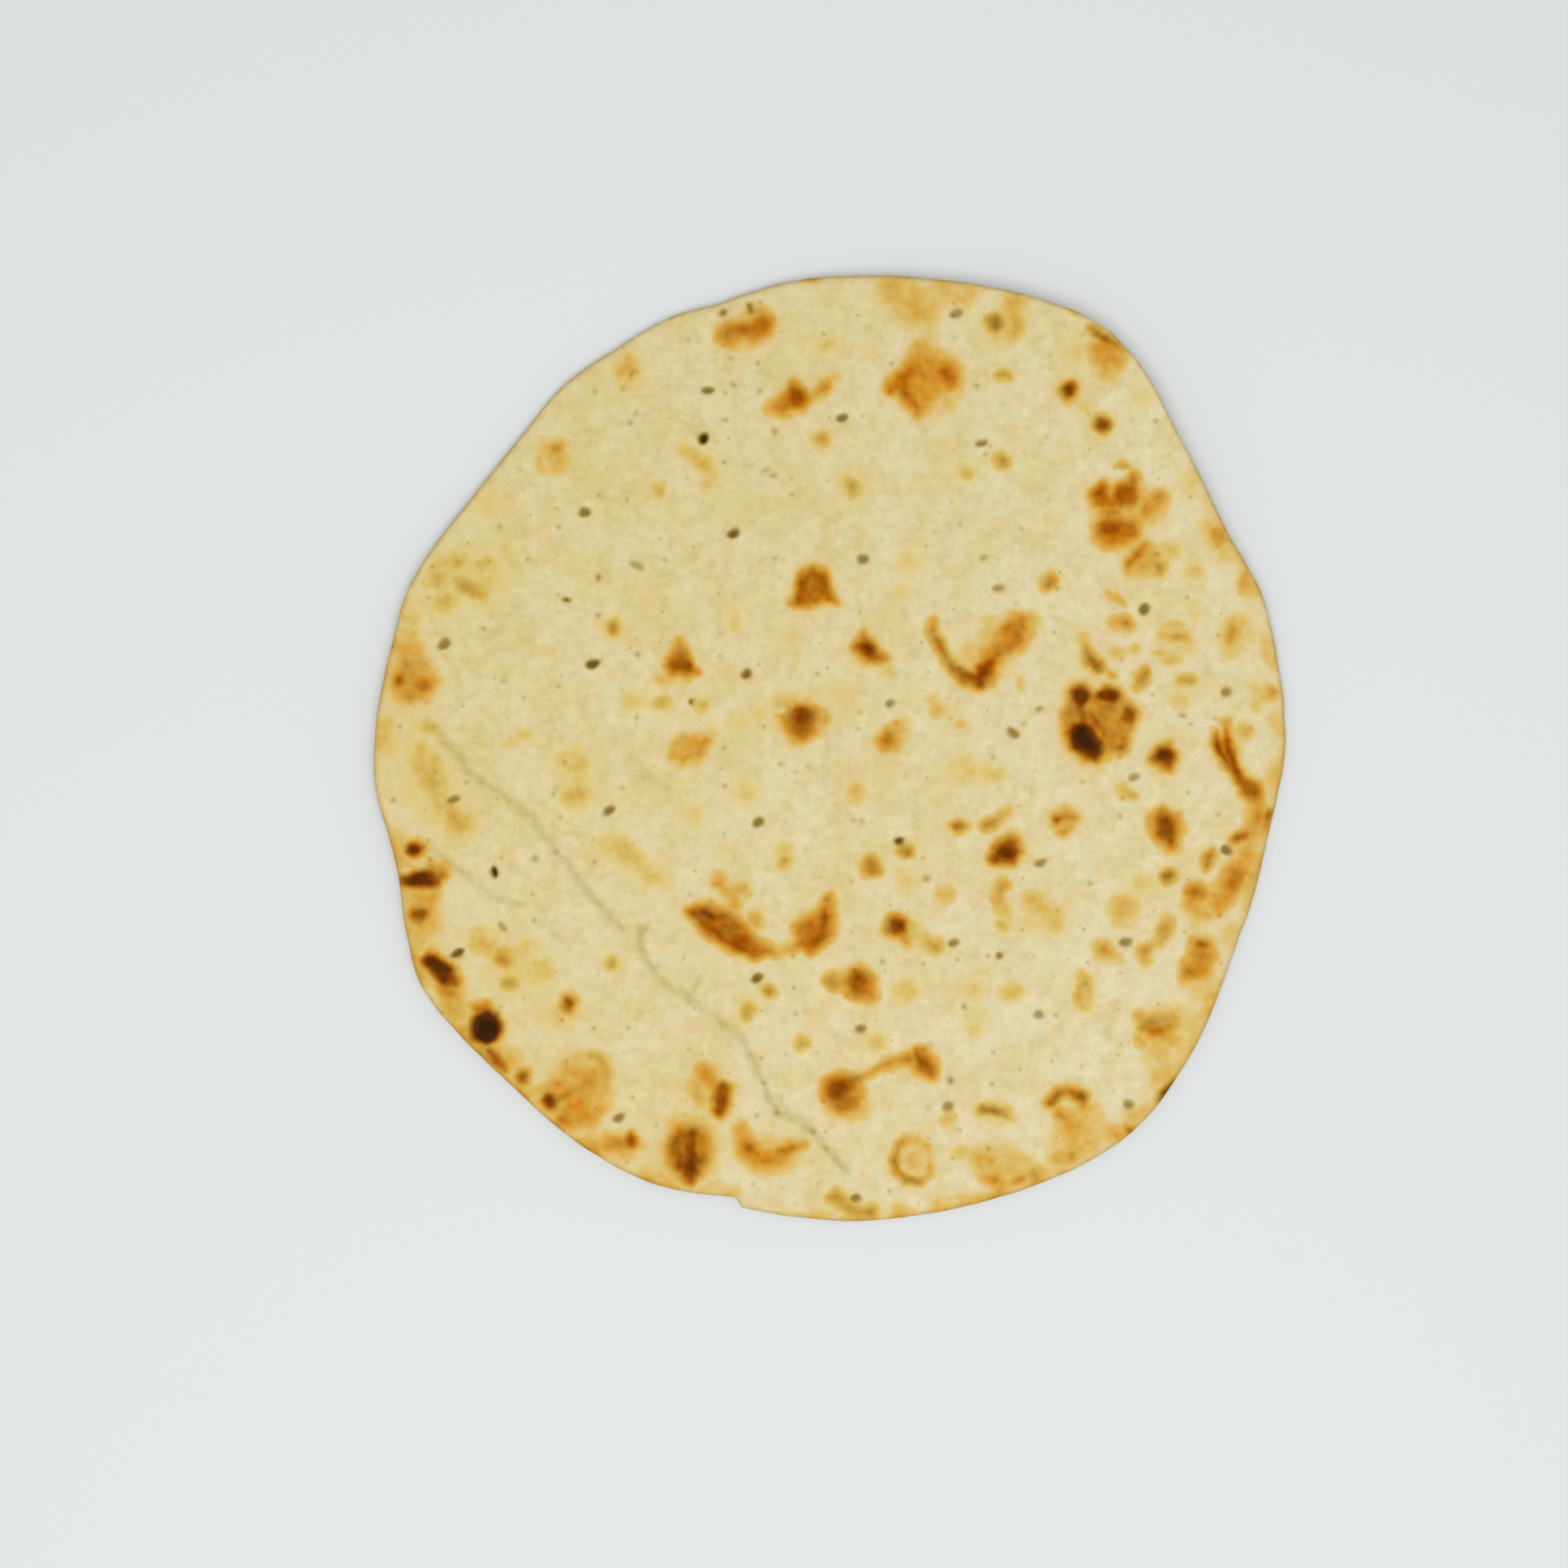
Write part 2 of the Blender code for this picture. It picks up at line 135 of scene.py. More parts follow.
# Each mark gives its tone, softness and warmth, then its shape. Tone 0 is bare dough, 0.3 gold, 0.5 golden
# brown, 0.7 brown and 1 black; warmth goes from 0, olive, to 1, orange.
MARKS = (
    # far edge, left of the middle
    dab(.56, 3, .6, -25, 107.5, 7, 4.6, 12), dab(.64, 2.6, .8, -17.5, 110, 4.8, 5.2, 20),
    stroke((.6, .66), 2.8, .75, (-22.5, 108.4, 3.4), (-19, 109.2, 3.8)),
    dab(.42, 3, .8, -21.8, 106.6, 9, 3.6, 8), dab(.3, 2.4, .3, -20, 113, 7, 2, 20),
    stroke(.38, 1.8, .25, (-52.2, 101.6, 1.2), (-52.8, 99.5, 1.3), (-54.2, 97, 1.3)),
    dab(.44, 1.8, .2, -51, 97.4, 1.8, 1.6), dab(.19, 4, .4, -52.5, 98, 6, 8),
    # far edge, middle and right
    dab(.34, 2, .3, -5, 121.6, 4.4, 1.6),
    stroke((.24, .29, .28), 4.5, .4, (16, 119, 5), (19.5, 116, 6), (23, 112.3, 5.4)),
    stroke((.25, .21, .25), 4, .4, (24, 114.5, 4.5), (28, 117.2, 4.5), (34, 118.2, 5)),
    dab(.34, 1.6, .2, 16.3, 119.5, 3, 1.4), dab(.28, 2, .2, 18.9, 117.8, 2),
    dab(.2, 4, .5, 46.4, 112.6, 6, 7, 20), dab(.16, 4, .4, 45, 108, 8, 6, 20),
    dab(.66, 2.4, .25, 42.4, 109.8, 3, 3.2), dab(.37, 3, .4, 47.2, 115.2, 3.8, 2.8),
    dab(.37, 3, .4, 47.4, 108, 3.4, 3),
    # the diamond
    patch(.43, 2.8, .9, (14.6, 94.2), (19.8, 99.6), (22.6, 104.6), (28, 101.8), (33, 98), (31, 94.2),
        (27, 91.2), (23, 87), (18.6, 89.8)),
    stroke((.6, .7, .56), 2.6, .9, (16.6, 93.8, 3.6), (18.8, 95.4, 4.8), (21.4, 97.8, 3)),
    stroke((.66, .64, .62, .42), 2.4, .7, (18.4, 92.8, 3.4), (20.4, 90.4, 3.4), (22.4, 88.4, 3),
        (25.4, 88.6, 1.6)),
    dab(.62, 2.8, .7, 29.9, 96.2, 6, 4, -30),
    stroke((.28, .14), 4, .5, (24, 103.4, 4), (25.2, 106.5, 2.5)), dab(.14, 3.6, .6, 25.6, 95, 17, 16),
    dab(.18, 3, .4, 29.6, 89.6, 5, 4, 20),
    # the triangle with a tail
    patch(.57, 2.6, .7, (-16.2, 87.8), (-12.4, 90.8), (-10, 94.8), (-8, 93.2), (-5.4, 90.6), (-7.4, 87.6),
        (-12, 86.9)),
    dab(.75, 2.8, .7, -8.8, 90.8, 5.2, 4.8, 10), dab(.52, 2.6, .75, -13.2, 88.4, 3.2, 2.2),
    stroke((.36, .5, .58, .2), 2.2, .5, (-4.6, 91.2, 1.2), (-2.8, 92.4, 1.8), (-1.2, 94.2, 2.4),
        (.8, 96.4, 1)),
    dab(.16, 3, .2, -1.2, 105, 4, 4.4, 30), dab(.34, 1.8, .1, -1, 105, 1.4, 1.6),
    dab(.4, 2.4, .15, -2.4, 80.1, 2.2), dab(.14, 3, .2, -2.4, 80.6, 5, 4),
    stroke((.2, .32, .34, .2), 2.8, .2, (-37.6, 77.4, 1.4), (-35, 75.4, 1.8), (-32.8, 73.6, 2),
        (-30.8, 71.4, 1.4)),
    dab(.36, 2.6, .1, -44.4, 67.2, 2.2, 2.4), dab(.24, 1.8, .2, -32.2, 68.3, 1.4),
    # right of the middle, far side
    dab(.46, 2.2, .3, 44.8, 96.3, 2.8, 1.6, -15), dab(.52, 2.4, .1, 44.1, 75.1, 2.2, 2.6),
    stroke((.24, .32), 2.4, .1, (33.8, 72.6, 1.6), (35.8, 71.4, 1.8)), dab(.42, 2.8, .1, 6, 67.3, 2.6, 3),
    dab(.12, 4, .4, 5.4, 68, 7, 9), dab(.13, 4, .2, 20.2, 49, 3.5, 5), dab(.84, 2.2, .35, 61.5, 92.5, 3.9),
    dab(.78, 2.2, .2, 70.2, 83.9, 3.8, 3.3), dab(.16, 3, .5, 65.6, 88, 4, 3, -45),
    stroke((.56, .68, .66, .62, .4), 1.5, .2, (67, 108, 1.8), (69.2, 107, 1.7), (71.2, 105.8, 1.5),
        (73.6, 104.2, 1.3), (75.6, 102.6, 1)),
    dab(.42, 3, .9, 71.4, 102.2, 8.6, 6, -40), dab(.28, 3.4, .3, 71.2, 98.4, 4, 4.2),
    dab(.14, 4, .2, 63, 102.8, 5, 4.5), dab(.36, 1.8, 0, 62.3, 113.4, 3, 1.2, -25),
    dab(.13, 3.4, .1, 80.5, 90.4, 4), dab(.44, 1.8, 0, 75, 73.5, 2.6, 1.2),
    # the cluster at the right
    dab(.68, 2.4, .7, 70, 65.2, 4.6, 6.2, 8), dab(.24, 3, .7, 75.6, 62, 14, 12.4),
    dab(.71, 2.6, .75, 76.2, 65.2, 6, 6.2, 30),
    stroke((.64, .5), 2.2, .5, (77.8, 68, 3), (78.6, 70.8, 1.6)),
    stroke(.5, 2.2, .7, (70.6, 61.2, 2), (73.6, 60.6, 2)),
    stroke(.55, 2.4, .8, (71.4, 63.2, 3.4), (75, 63.2, 3)), dab(.5, 2.6, .6, 84.4, 64.6, 2.8, 3.8),
    stroke((.22, .44, .66, .36), 2.6, .7, (80.8, 66.2, 2.2), (81.6, 63.5, 2.2), (80.9, 61.3, 1.8),
        (84, 62.3, 1.2)),
    patch(.54, 2.3, .75, (68.8, 54.2), (69, 58.6), (71.6, 61), (75, 60), (78.8, 58), (79.4, 55),
        (76.4, 52.6), (71.6, 51.8)),
    dab(.7, 2.8, .7, 71.9, 57, 5.6), dab(.52, 2.6, .7, 76.4, 55.2, 5.2, 3.8),
    dab(.24, 3.4, .5, 81, 61.5, 9, 6),
    stroke((.6, .62, .5), 2.2, .6, (77.2, 47.8, 1.8), (79.6, 50.2, 2.2), (81.4, 52.4, 2.2)),
    dab(.31, 3, .5, 80.8, 48.4, 9.6, 6, 10), dab(.54, 2.2, .2, 85, 47.2, 2.2, 2.8),
    dab(.24, 3, .1, 88, 51.4, 2.6),
    stroke((.3, .38, .36), 1.8, .6, (71.5, 40.4, .8), (73.5, 39.3, 1), (75.5, 37.8, .8)),
    dab(.54, 2.4, .4, 76.5, 32.7, 3, 2), dab(.34, 2.4, .5, 74, 32.8, 2.4, 1.8),
    dab(.58, 2.4, .35, 56.7, 43.2, 2.4, 3, -20),
    # the trapezoid
    patch(.66, 2, .7, (-9.9, 37), (-8.8, 41.4), (-7.2, 45.6), (-4.4, 47.2), (-1.4, 45.8), (.4, 41.6),
        (1.2, 37.8), (-1.2, 37.6), (-5.5, 37), (-8.9, 36.7)),
    stroke(.65, 2, .7, (-8.2, 38.2, 2), (-7, 42.5, 2), (-4.4, 46, 2), (-2.2, 44.5, 1.8)),
    # the small triangle
    patch(.64, 2.4, .6, (-42.4, 21.4), (-40.8, 24.8), (-39.2, 27.6), (-37.4, 24.6), (-35, 20), (-37, 18.6),
        (-41, 19.4)),
    dab(.74, 2.6, .7, -38.6, 21.6, 5, 3.6), dab(.26, 3, .5, -42.2, 18.4, 4, 2.4),
    # the star
    patch(.56, 2.4, .6, (-11.8, 8), (-10, 10.6), (-6.8, 10.2), (-4, 10.6), (-4.2, 7.2), (-3.8, 3.6),
        (-6.4, 2.2), (-9, 2.4), (-11.2, 4.6)),
    stroke((.48, .2), 1.2, .3, (-9.8, 10, .9), (-13.8, 13.6, .5)),
    stroke((.5, .16), 1.2, .3, (-8.4, 10, .9), (-9.6, 14.8, .3)),
    stroke((.46, .16), 1.2, .3, (-6, 10, .9), (-5.4, 14.4, .3)),
    stroke((.46, .24), 1.2, .2, (-4.6, 9, 1), (-.8, 11.2, .4)),
    stroke((.44, .2), 1.2, .3, (-11, 7.6, 1), (-14, 8.6, .4)), dab(.82, 2.6, .5, -7.4, 8.4, 5.8, 4.6, 20),
    dab(.74, 2.6, .5, -8.4, 5.6, 5, 4.2), dab(.62, 2.4, .3, -4.8, 8.4, 2.4, 4),
    dab(.12, 4, .3, -8, 7.2, 12), dab(.2, 3, .3, -11.6, 11.6, 5.4, 4), dab(.4, 2, .2, -1.4, 8.2, 1.2, 2.4),
    dab(.18, 2.6, .1, -19, 9.6, 2.4, 2), dab(.16, 3, .2, -23.8, 7.6, 3.4, 2.6),
    # the little star
    patch(.65, 2, .5, (5.9, 26.2), (7.6, 28), (8.8, 30.6), (10.6, 28), (12.2, 25.6), (14.4, 23.8),
        (13, 22.6), (9.8, 22.8), (7.4, 24)),
    dab(.34, 2.4, .4, 9.4, 23.4, 5, 2), dab(.78, 2.4, .6, 9.5, 26, 4.8, 3.8, -30),
    stroke((.26, .16), 2.4, .3, (13.4, 22, 1.4), (15.4, 19.4, 1)), dab(.12, 3, 0, 19, 40.3, 3, 3.4),
    dab(.11, 5, .5, 2.5, 14.5, 6, 5),
    # the check mark
    stroke((.36, .58, .64, .56, .7, .74), 2, .4, (26, 33.2, 1.6), (26.9, 30.2, 1.7), (28.2, 26.4, 1.9),
        (30.9, 22, 2.1), (34.5, 18.8, 2.8), (38.4, 17.6, 3.4)),
    dab(.22, 3, .3, 36, 22, 5, 3, 40), dab(.8, 2.8, .7, 40.1, 19.6, 5.2, 4.6, 30),
    patch(.5, 2.6, .85, (39.2, 21.5), (41.4, 27.2), (44, 31.4), (47.8, 34.4), (51.8, 34), (51.4, 29.8),
        (48.6, 25.8), (45.2, 24), (42.6, 20.8)),
    stroke((.74, .58), 2.2, .75, (41.4, 22, 3), (43.4, 24.8, 2.2)),
    stroke((.5, .52, .48), 2.2, .4, (44.5, 30.8, 1.6), (47.5, 32.2, 1.8), (50.4, 31.4, 2.2)),
    stroke((.58, .68), 2.2, .5, (49.4, 29.2, 2), (46.6, 26, 1.8)), dab(.2, 3, .3, 41, 31, 4, 5, -30),
    dab(.14, 3, .4, 35, 26, 3, 5, 20), dab(.12, 4, .6, 39.5, 22.5, 17, 12, 20),
    dab(.5, 2.4, .7, 40.6, 24.4, 3), dab(.26, 2.4, .1, 53, 33.6, 2, 1.8),
    # beside the middle
    dab(.53, 2.8, .5, 15, 2.4, 4, 4.8, -10), dab(.36, 2.8, .5, 17.8, 5, 3.8),
    stroke((.18, .26), 2.8, .15, (26.6, 12.4, 1.8), (27.7, 9.8, 2.2)), dab(.24, 1.6, .4, 33.4, 6.2, 1.4),
    stroke((.28, .2), 1.8, .4, (49.5, 15.6, .8), (49, 18, .6)),
    # left of the middle
    dab(.56, 2.2, .1, -55.9, 31.4, 2, 2.8, -15), dab(.14, 3.4, .6, -56.6, 31.4, 5),
    dab(.14, 3, 0, -25, 33.6, 2.6, 6), stroke((.17, .15), 3.2, 0, (-51.8, 12.4, 2.8), (-48, 12.4, 2.2)),
    dab(.4, 2.4, .2, -43.6, 12.2, 2.4, 1.4, 20), dab(.32, 2.2, .2, -33.4, 10.8, 2.2, 1.4),
    # the striped oval
    dab(.29, 2.4, .7, -36.4, -.2, 9.2, 6.6, 36),
    stroke((.38, .4, .28), 2, 1, (-39.4, -2.4, 1.2), (-36.6, .4, 1.4), (-34.4, 3, 1.2)),
    stroke((.42, .44, .36), 1.8, .1, (-41, -2.4, 1), (-40, .8, 1), (-37.6, 3.4, 1)),
    stroke((.56, .5, .42), 1.8, .5, (-37.8, -3.4, 1.2), (-34.2, -.6, 1.2), (-31.8, 2.6, 1)),
    dab(.2, 3, .1, -31.2, 4, 2.6, 2),
    # pale blotches of the far left
    dab(.13, 5, 0, -94.5, 43.4, 19, 13, -15),
    stroke((.34, .42, .46, .3), 2.6, .1, (-96.6, 43.4, 1.6), (-94.2, 42.4, 2.4), (-91.6, 41, 2.4),
        (-89.5, 40, 1.6)),
    dab(.25, 3, 0, -98, 48.2, 7, 4, 10), dab(.26, 3, 0, -99.4, 38.4, 6, 4.4),
    dab(.26, 3, 0, -101.8, 43.4, 4.4, 5.4), dab(.15, 3, 0, -88, 43, 5, 7, -20),
    dab(.22, 2.6, 0, -89, 48.2, 4, 3), dab(.13, 4, 0, -88.8, 63.6, 4, 5),
    stroke((.13, .13), 4, .2, (-84, 53.5, 2), (-82, 47, 2.4)), dab(.43, 2.4, .45, -70.8, 78, 3.4, 3.2, 30),
    dab(.26, 3.2, .4, -71.2, 76, 6.6, 7), stroke(.36, 1.8, .3, (-75.2, 74.6, .9), (-74, 71.8, .9)),
    # scorch on the left edge
    patch(.36, 3.8, .6, (-110.8, 26.5), (-107, 27), (-104.2, 20.6), (-102.4, 17), (-105, 13),
        (-109.6, 11.4), (-112.8, 14.2), (-112.9, 19)),
    dab(.7, 2.4, .5, -111.4, 17.2, 3.4, 3.6), dab(.63, 2.6, .6, -105.2, 17.4, 3.8, 4.2),
    dab(.5, 2.8, .45, -109.4, 13.6, 3.8, 3.2), dab(.5, 2.8, .4, -110, 22.2, 2.6, 4),
    dab(.2, 3.4, .5, -108.6, 28, 4, 6), stroke(.3, 1.8, .4, (-110, 30.2, 1.1), (-107.2, 30, 1.1)),
    stroke(.26, 2.4, 0, (-110, 34, 1.2), (-106.8, 33.6, 1.2)), dab(.22, 2.8, 0, -105, 5.4, 5, 1.8, 10),
    dab(.24, 4, .5, -115.2, 2.5, 4, 7),
    stroke((.14, .34, .2), 2, 0, (-84.4, 1.4, .8), (-81, 2.4, 1), (-78, 3.8, .8)),
    # golden blotches at the left
    stroke((.22, .27, .27, .2, .26, .3, .2), 3.4, .1, (-105.8, -1, 4.6), (-104.4, -4.6, 6),
        (-102.4, -8.8, 5.6), (-100.6, -13, 3.6), (-98.2, -17, 5), (-96, -19.2, 5), (-93.4, -20.4, 2.4)),
    dab(.34, 2.6, .2, -101.8, -9.4, 3, 3.6), dab(.34, 2.6, .3, -97.6, -18.4, 3),
    dab(.1, 6, .2, -103, -10, 15, 22, 25), dab(.24, 3.4, .15, -66.2, -3.2, 6.4, 4.8),
    dab(.27, 3.4, .1, -65.6, -12.2, 6, 4.4, 10), dab(.13, 4.4, .1, -66.2, -8, 8, 12),
    # dark scorch on the left edge
    dab(.91, 2.2, .55, -107.5, -26, 4.7, 3.7),
    stroke((.8, .95, .92, .8, .5), 2, .5, (-109.6, -33.6, 3.2), (-107.4, -33.6, 4), (-104.8, -33.5, 4.2),
        (-102.4, -33.1, 4), (-100.6, -32.6, 3)),
    stroke((.5, .32), 2.4, .65, (-102.2, -30.8, 2.6), (-100.2, -30.6, 2.4)),
    patch(.4, 3.2, .75, (-109, -36.6), (-102.2, -36.6), (-103, -40), (-105.4, -42.5), (-107.8, -40.5)),
    dab(.78, 2.4, .35, -106.4, -42.8, 4.4, 3.6), dab(.3, 3.4, .7, -104.6, -44.4, 5.6, 6),
    stroke((.92, .91, .91, .68), 2.2, .5, (-103.2, -54.6, 4.4), (-101.6, -56.2, 4.8), (-99.2, -58.2, 5),
        (-97, -59.6, 3.6)),
    dab(.5, 2.8, .7, -98.8, -62.4, 6.2, 4, -30), dab(.34, 3.4, .4, -97.4, -66.4, 5.6, 6, 10),
    dab(.28, 3.4, .2, -89.9, -49.9, 5.6, 4.6, -20), dab(.54, 2.8, .6, -84.3, -53.7, 3.2),
    dab(.42, 2.4, .15, -83.2, -60.2, 2.8, 2.2), dab(.26, 3.4, 0, -74.4, -57, 4, 3, -20),
    dab(.12, 5, .1, -80, -55.6, 15, 11, -20), dab(.22, 3, 0, -78, -50.8, 3),
    dab(.36, 2.2, 0, -56.3, -55.5, 2, 1.8), dab(.68, 2.6, .4, -67.4, -66.2, 3.2, 4),
    dab(.14, 5, .4, -70.6, -69, 9, 6),
    # the blackened blister
    dab(.94, 2, .3, -89, -71.8, 8.6, 9.2), dab(.99, 2.4, .4, -88.4, -72.6, 5.6),
    dab(.88, 2.2, .4, -90.6, -74.4, 4.4, 3.4, 20), dab(.6, 2.4, .75, -90, -67, 5, 3.4),
    stroke((.7, .76, .68), 2, .45, (-87.6, -78.4, 2.2), (-86.2, -80.2, 2.8), (-84.8, -82.6, 2)),
    dab(.3, 3, .5, -82.4, -80.6, 5, 4, -45), dab(.74, 2.4, .45, -79.4, -85.2, 3.2, 3.6),
    # the large golden patch
    dab(.18, 3, .5, -64, -83, 13.4, 9.6),
    patch(.34, 3, .65, (-73, -87), (-69, -82.6), (-63, -81.2), (-58, -83.6), (-57, -88.6), (-59, -93.4),
        (-61.8, -98.2), (-67.5, -98), (-72.8, -93.6)),
    dab(.84, 2.4, .55, -72.4, -91, 3.6, 4.4, 20),
    stroke((.58, .5, .34), 2.2, .7, (-69.6, -90, 2.4), (-66.6, -88.6, 2.6), (-62.6, -87, 2.4)),
    stroke((.46, .2), 2.4, .5, (-70.4, -86, 2), (-66, -83.4, 1.6)),
    stroke((.56, .5, .5), 2.4, .7, (-69.4, -95.4, 2.4), (-66.4, -96.6, 2.4), (-62.8, -95, 3)),
    dab(.46, 3, .9, -65.6, -92.4, 8, 5, 10),
    stroke((.42, .4, .4), 2.4, .2, (-61.6, -79.2, 1.4), (-58.6, -81, 1.6), (-57.6, -84.8, 2)),
    dab(.1, 4, .4, -65, -88, 21, 22), stroke((.44, .52), 2.4, .85, (-57, -102, 4), (-53.6, -101.9, 3.4)),
    dab(.74, 2.2, .55, -51.3, -101.5, 3.2), dab(.22, 3.4, .65, -53.8, -103, 11, 5.6, 10),
    # the great oval blister at the near edge
    dab(.61, 2.8, .6, -36.6, -104, 10.8, 13.8),
    stroke((.76, .8, .76, .84, .78), 2.2, .45, (-35.8, -99.4, 3.6), (-36, -102.6, 3.4),
        (-35.6, -105.4, 3.6), (-36.4, -108.6, 4.2), (-36.4, -110.8, 3.2)),
    stroke((.66, .76), 2.2, .5, (-38.8, -101.6, 2.2), (-38.6, -107.4, 2.8)),
    dab(.2, 3, .5, -36.4, -103.2, 14.6, 18.4), dab(.44, 2.6, .75, -32, -84.8, 5, 6, 20),
    dab(.28, 3.2, .4, -34.3, -88.6, 3.8, 7, 10),
    stroke((.76, .84, .76), 2.2, .5, (-27.6, -88, 3.8), (-28.2, -90.8, 4.2), (-28.6, -93.2, 3.2)),
    # the golden arc
    stroke((.36, .54, .52, .46, .52), 2.6, .9, (-23.2, -99, 2.8), (-21.8, -102.8, 3.6),
        (-18.2, -105.2, 4.6), (-14.6, -105.8, 4.4), (-12.4, -104.4, 3.2)),
    dab(.58, 2.2, .6, -21.4, -103.2, 2, 3, 20),
    stroke((.66, .56, .5), 2.2, .55, (-12.6, -103.6, 2.2), (-10, -103.2, 2.4), (-7.2, -102.6, 1.6)),
    dab(.2, 3.2, .6, -15.8, -105.2, 15, 8, -10),
    # the smile
    patch(.67, 2.4, .6, (-36.6, -42), (-31, -40.2), (-26.2, -42.4), (-22, -46.2), (-19, -49.8),
        (-14.6, -52.6), (-19.4, -53.4), (-24.6, -52.2), (-30, -49), (-34.4, -45.4)),
    dab(.82, 2.4, .55, -31.8, -42.6, 4.8, 2.8, -20),
    stroke((.74, .66, .74, .72), 2.4, .6, (-34.6, -43.4, 2.4), (-31.6, -46.4, 2.8), (-27.2, -49.3, 2.4),
        (-20.6, -52.3, 2)),
    stroke((.26, .36, .5), 2.4, .35, (-28.8, -34.2, 1.8), (-26.8, -37, 1.6), (-22.4, -36.6, 1.8)),
    stroke((.42, .44), 2.4, .65, (-25.4, -37.8, 2.4), (-24.8, -40.4, 2.2)),
    dab(.36, 2.4, .5, -28.8, -34, 2.4, 2), dab(.36, 2.6, .3, -18.9, -44.2, 2.4, 2.8),
    stroke((.46, .4, .44, .52), 2, .45, (-15, -52.9, 1.2), (-12.4, -52.4, 1.2), (-10, -51.4, 1.6),
        (-8, -50, 2.6)),
    patch(.6, 2.4, .7, (-9.4, -46.2), (-6.4, -43), (-2.8, -42), (-1.6, -39.6), (-.2, -37.8), (.5, -42),
        (.3, -48), (-1.6, -51.2), (-4.8, -52.4), (-8.6, -50.2)),
    stroke((.4, .62, .72, .72, .66), 2.4, .7, (-.6, -39.4, 1.2), (-1, -43, 2.6), (-1.6, -46.6, 3.4),
        (-3, -49.4, 3.4), (-5.4, -50.4, 2.8)),
    # right of the smile
    dab(.56, 2.4, .4, 10.4, -30.4, 4, 4.6, -20), dab(.58, 2, .2, 19.2, -26.3, 2.6, 2),
    dab(.62, 2.2, .4, 33.2, -20, 4.4, 2.4),
    stroke((.58, .34, .24), 2.2, .3, (40.6, -19.4, 2.4), (43.6, -18, 1.4), (46.2, -16, 1.4)),
    patch(.76, 2.2, .55, (41, -28.6), (43, -25.2), (46, -22.4), (48.6, -23), (49.2, -26.8), (46.8, -29.8),
        (42.4, -30)),
    dab(.82, 2.4, .55, 45.8, -26.4, 4.6, 4.4),
    patch(.34, 2.4, .75, (57.2, -17.4), (60.6, -15.8), (64, -17.2), (62.8, -20), (60.2, -22),
        (58.6, -19.8)),
    stroke((.8, .5, .58), 1.8, .5, (58.2, -18, 1.8), (60.6, -16.6, 1.4), (63.2, -17.8, 1.8)),
    dab(.5, 2, .5, 60, -21, 2.4, 1.6),
    stroke((.44, .46, .34), 2.4, .5, (44.4, -35.4, 1.6), (43.8, -38.6, 2), (45, -42, 2.2)),
    dab(.34, 2.4, .2, 44.8, -45.2, 2.6, 2.2),
    stroke((.28, .36, .34, .26), 2.8, .45, (51, -38.4, 1.6), (53.8, -39.4, 2), (56.2, -41.8, 2.2),
        (58.6, -45, 2)),
    dab(.12, 4, .2, 55, -43, 11, 7, -20),
    stroke((.26, .2), 2.4, .3, (50.6, -44.6, 1.4), (53.4, -46.4, 1.4)),
    dab(.3, 2.6, .4, 29.8, -37.6, 3, 2.6), dab(.13, 4, .3, 20, -33.6, 5, 4),
    dab(.34, 2.4, .4, 7, -11.6, 2, 3.6), dab(.14, 4, .1, 35.2, -5.8, 7, 6),
    dab(.18, 3.4, .1, 42.4, -6.2, 4, 2.6), dab(.18, 3.4, .1, -22.3, -11.6, 4.4),
    dab(.15, 4, .1, -35.2, -17, 4),
    stroke((.18, .24, .24, .14, .24, .18), 3.2, .1, (-57.6, -24, 3.4), (-54.4, -25.8, 4.4),
        (-50.8, -28.8, 3.6), (-48.6, -31, 3.4), (-46, -32.8, 4.4), (-43, -34, 3)),
    dab(.5, 2, .2, -11.6, -29.6, 1.8), dab(.18, 3, .2, -12, -27.2, 3, 4),
    # dark blister below the middle and its golden tail
    dab(.79, 2.4, .5, 17.1, -45.9, 5.4, 5.6),
    stroke((.5, .36), 2.4, .5, (19, -48.6, 2.4), (20.2, -50.2, 1.6)),
    stroke((.3, .32, .42), 2.6, .15, (21, -46.2, 2), (23.6, -48.6, 2), (26.8, -50.5, 2.6)),
    dab(.62, 2.6, .65, 7.6, -60.6, 7, 7.6, 20), dab(.7, 2.6, .7, 7.2, -60.2, 5),
    dab(.54, 2.4, .6, 10, -63.4, 3), stroke((.52, .52), 2.4, .2, (.9, -60, 3), (3.6, -59.8, 2.4)),
    dab(.56, 2.2, .05, -16.2, -62.3, 2.4, 1.8), dab(.44, 2.4, .15, -21.3, -67.6, 2, 3.2),
    dab(.42, 2.2, .05, -7.1, -76, 2.2, 2),
    # the dumbbell
    dab(.6, 2.6, .6, 3, -89, 9.4, 10), dab(.75, 2.8, .6, 2, -88, 6.4, 6),
    stroke((.66, .6), 2.2, .6, (4.8, -86, 2.8), (7.4, -84.8, 1.6)),
    stroke((.5, .46, .52, .56), 2, .45, (9, -84.1, 1.2), (12, -83.4, 1.3), (16.3, -80.8, 2),
        (20, -80.2, 2.6)),
    dab(.56, 2.6, .6, 24.2, -81.4, 5.6, 6.8, 20),
    stroke((.66, .68, .62), 2.2, .65, (22.4, -79, 2.2), (24.2, -81, 3.6), (25.4, -83.8, 2.8)),
    dab(.22, 3, .4, 4.4, -92.4, 11, 6),
    # rings
    stroke((.18, .26, .32, .34, .46, .56, .6, .64, .6, .34, .18), 1.6, .4, (26.2, -106.2, 1),
        (25.2, -102.9, 1), (22.8, -100.9, 1.1), (19.8, -100.9, 1.1), (17.3, -102.9, 1.2),
        (16.4, -106.2, 1.2), (17.3, -109.5, 1.3), (19.8, -111.5, 1.4), (22.8, -111.6, 1.5),
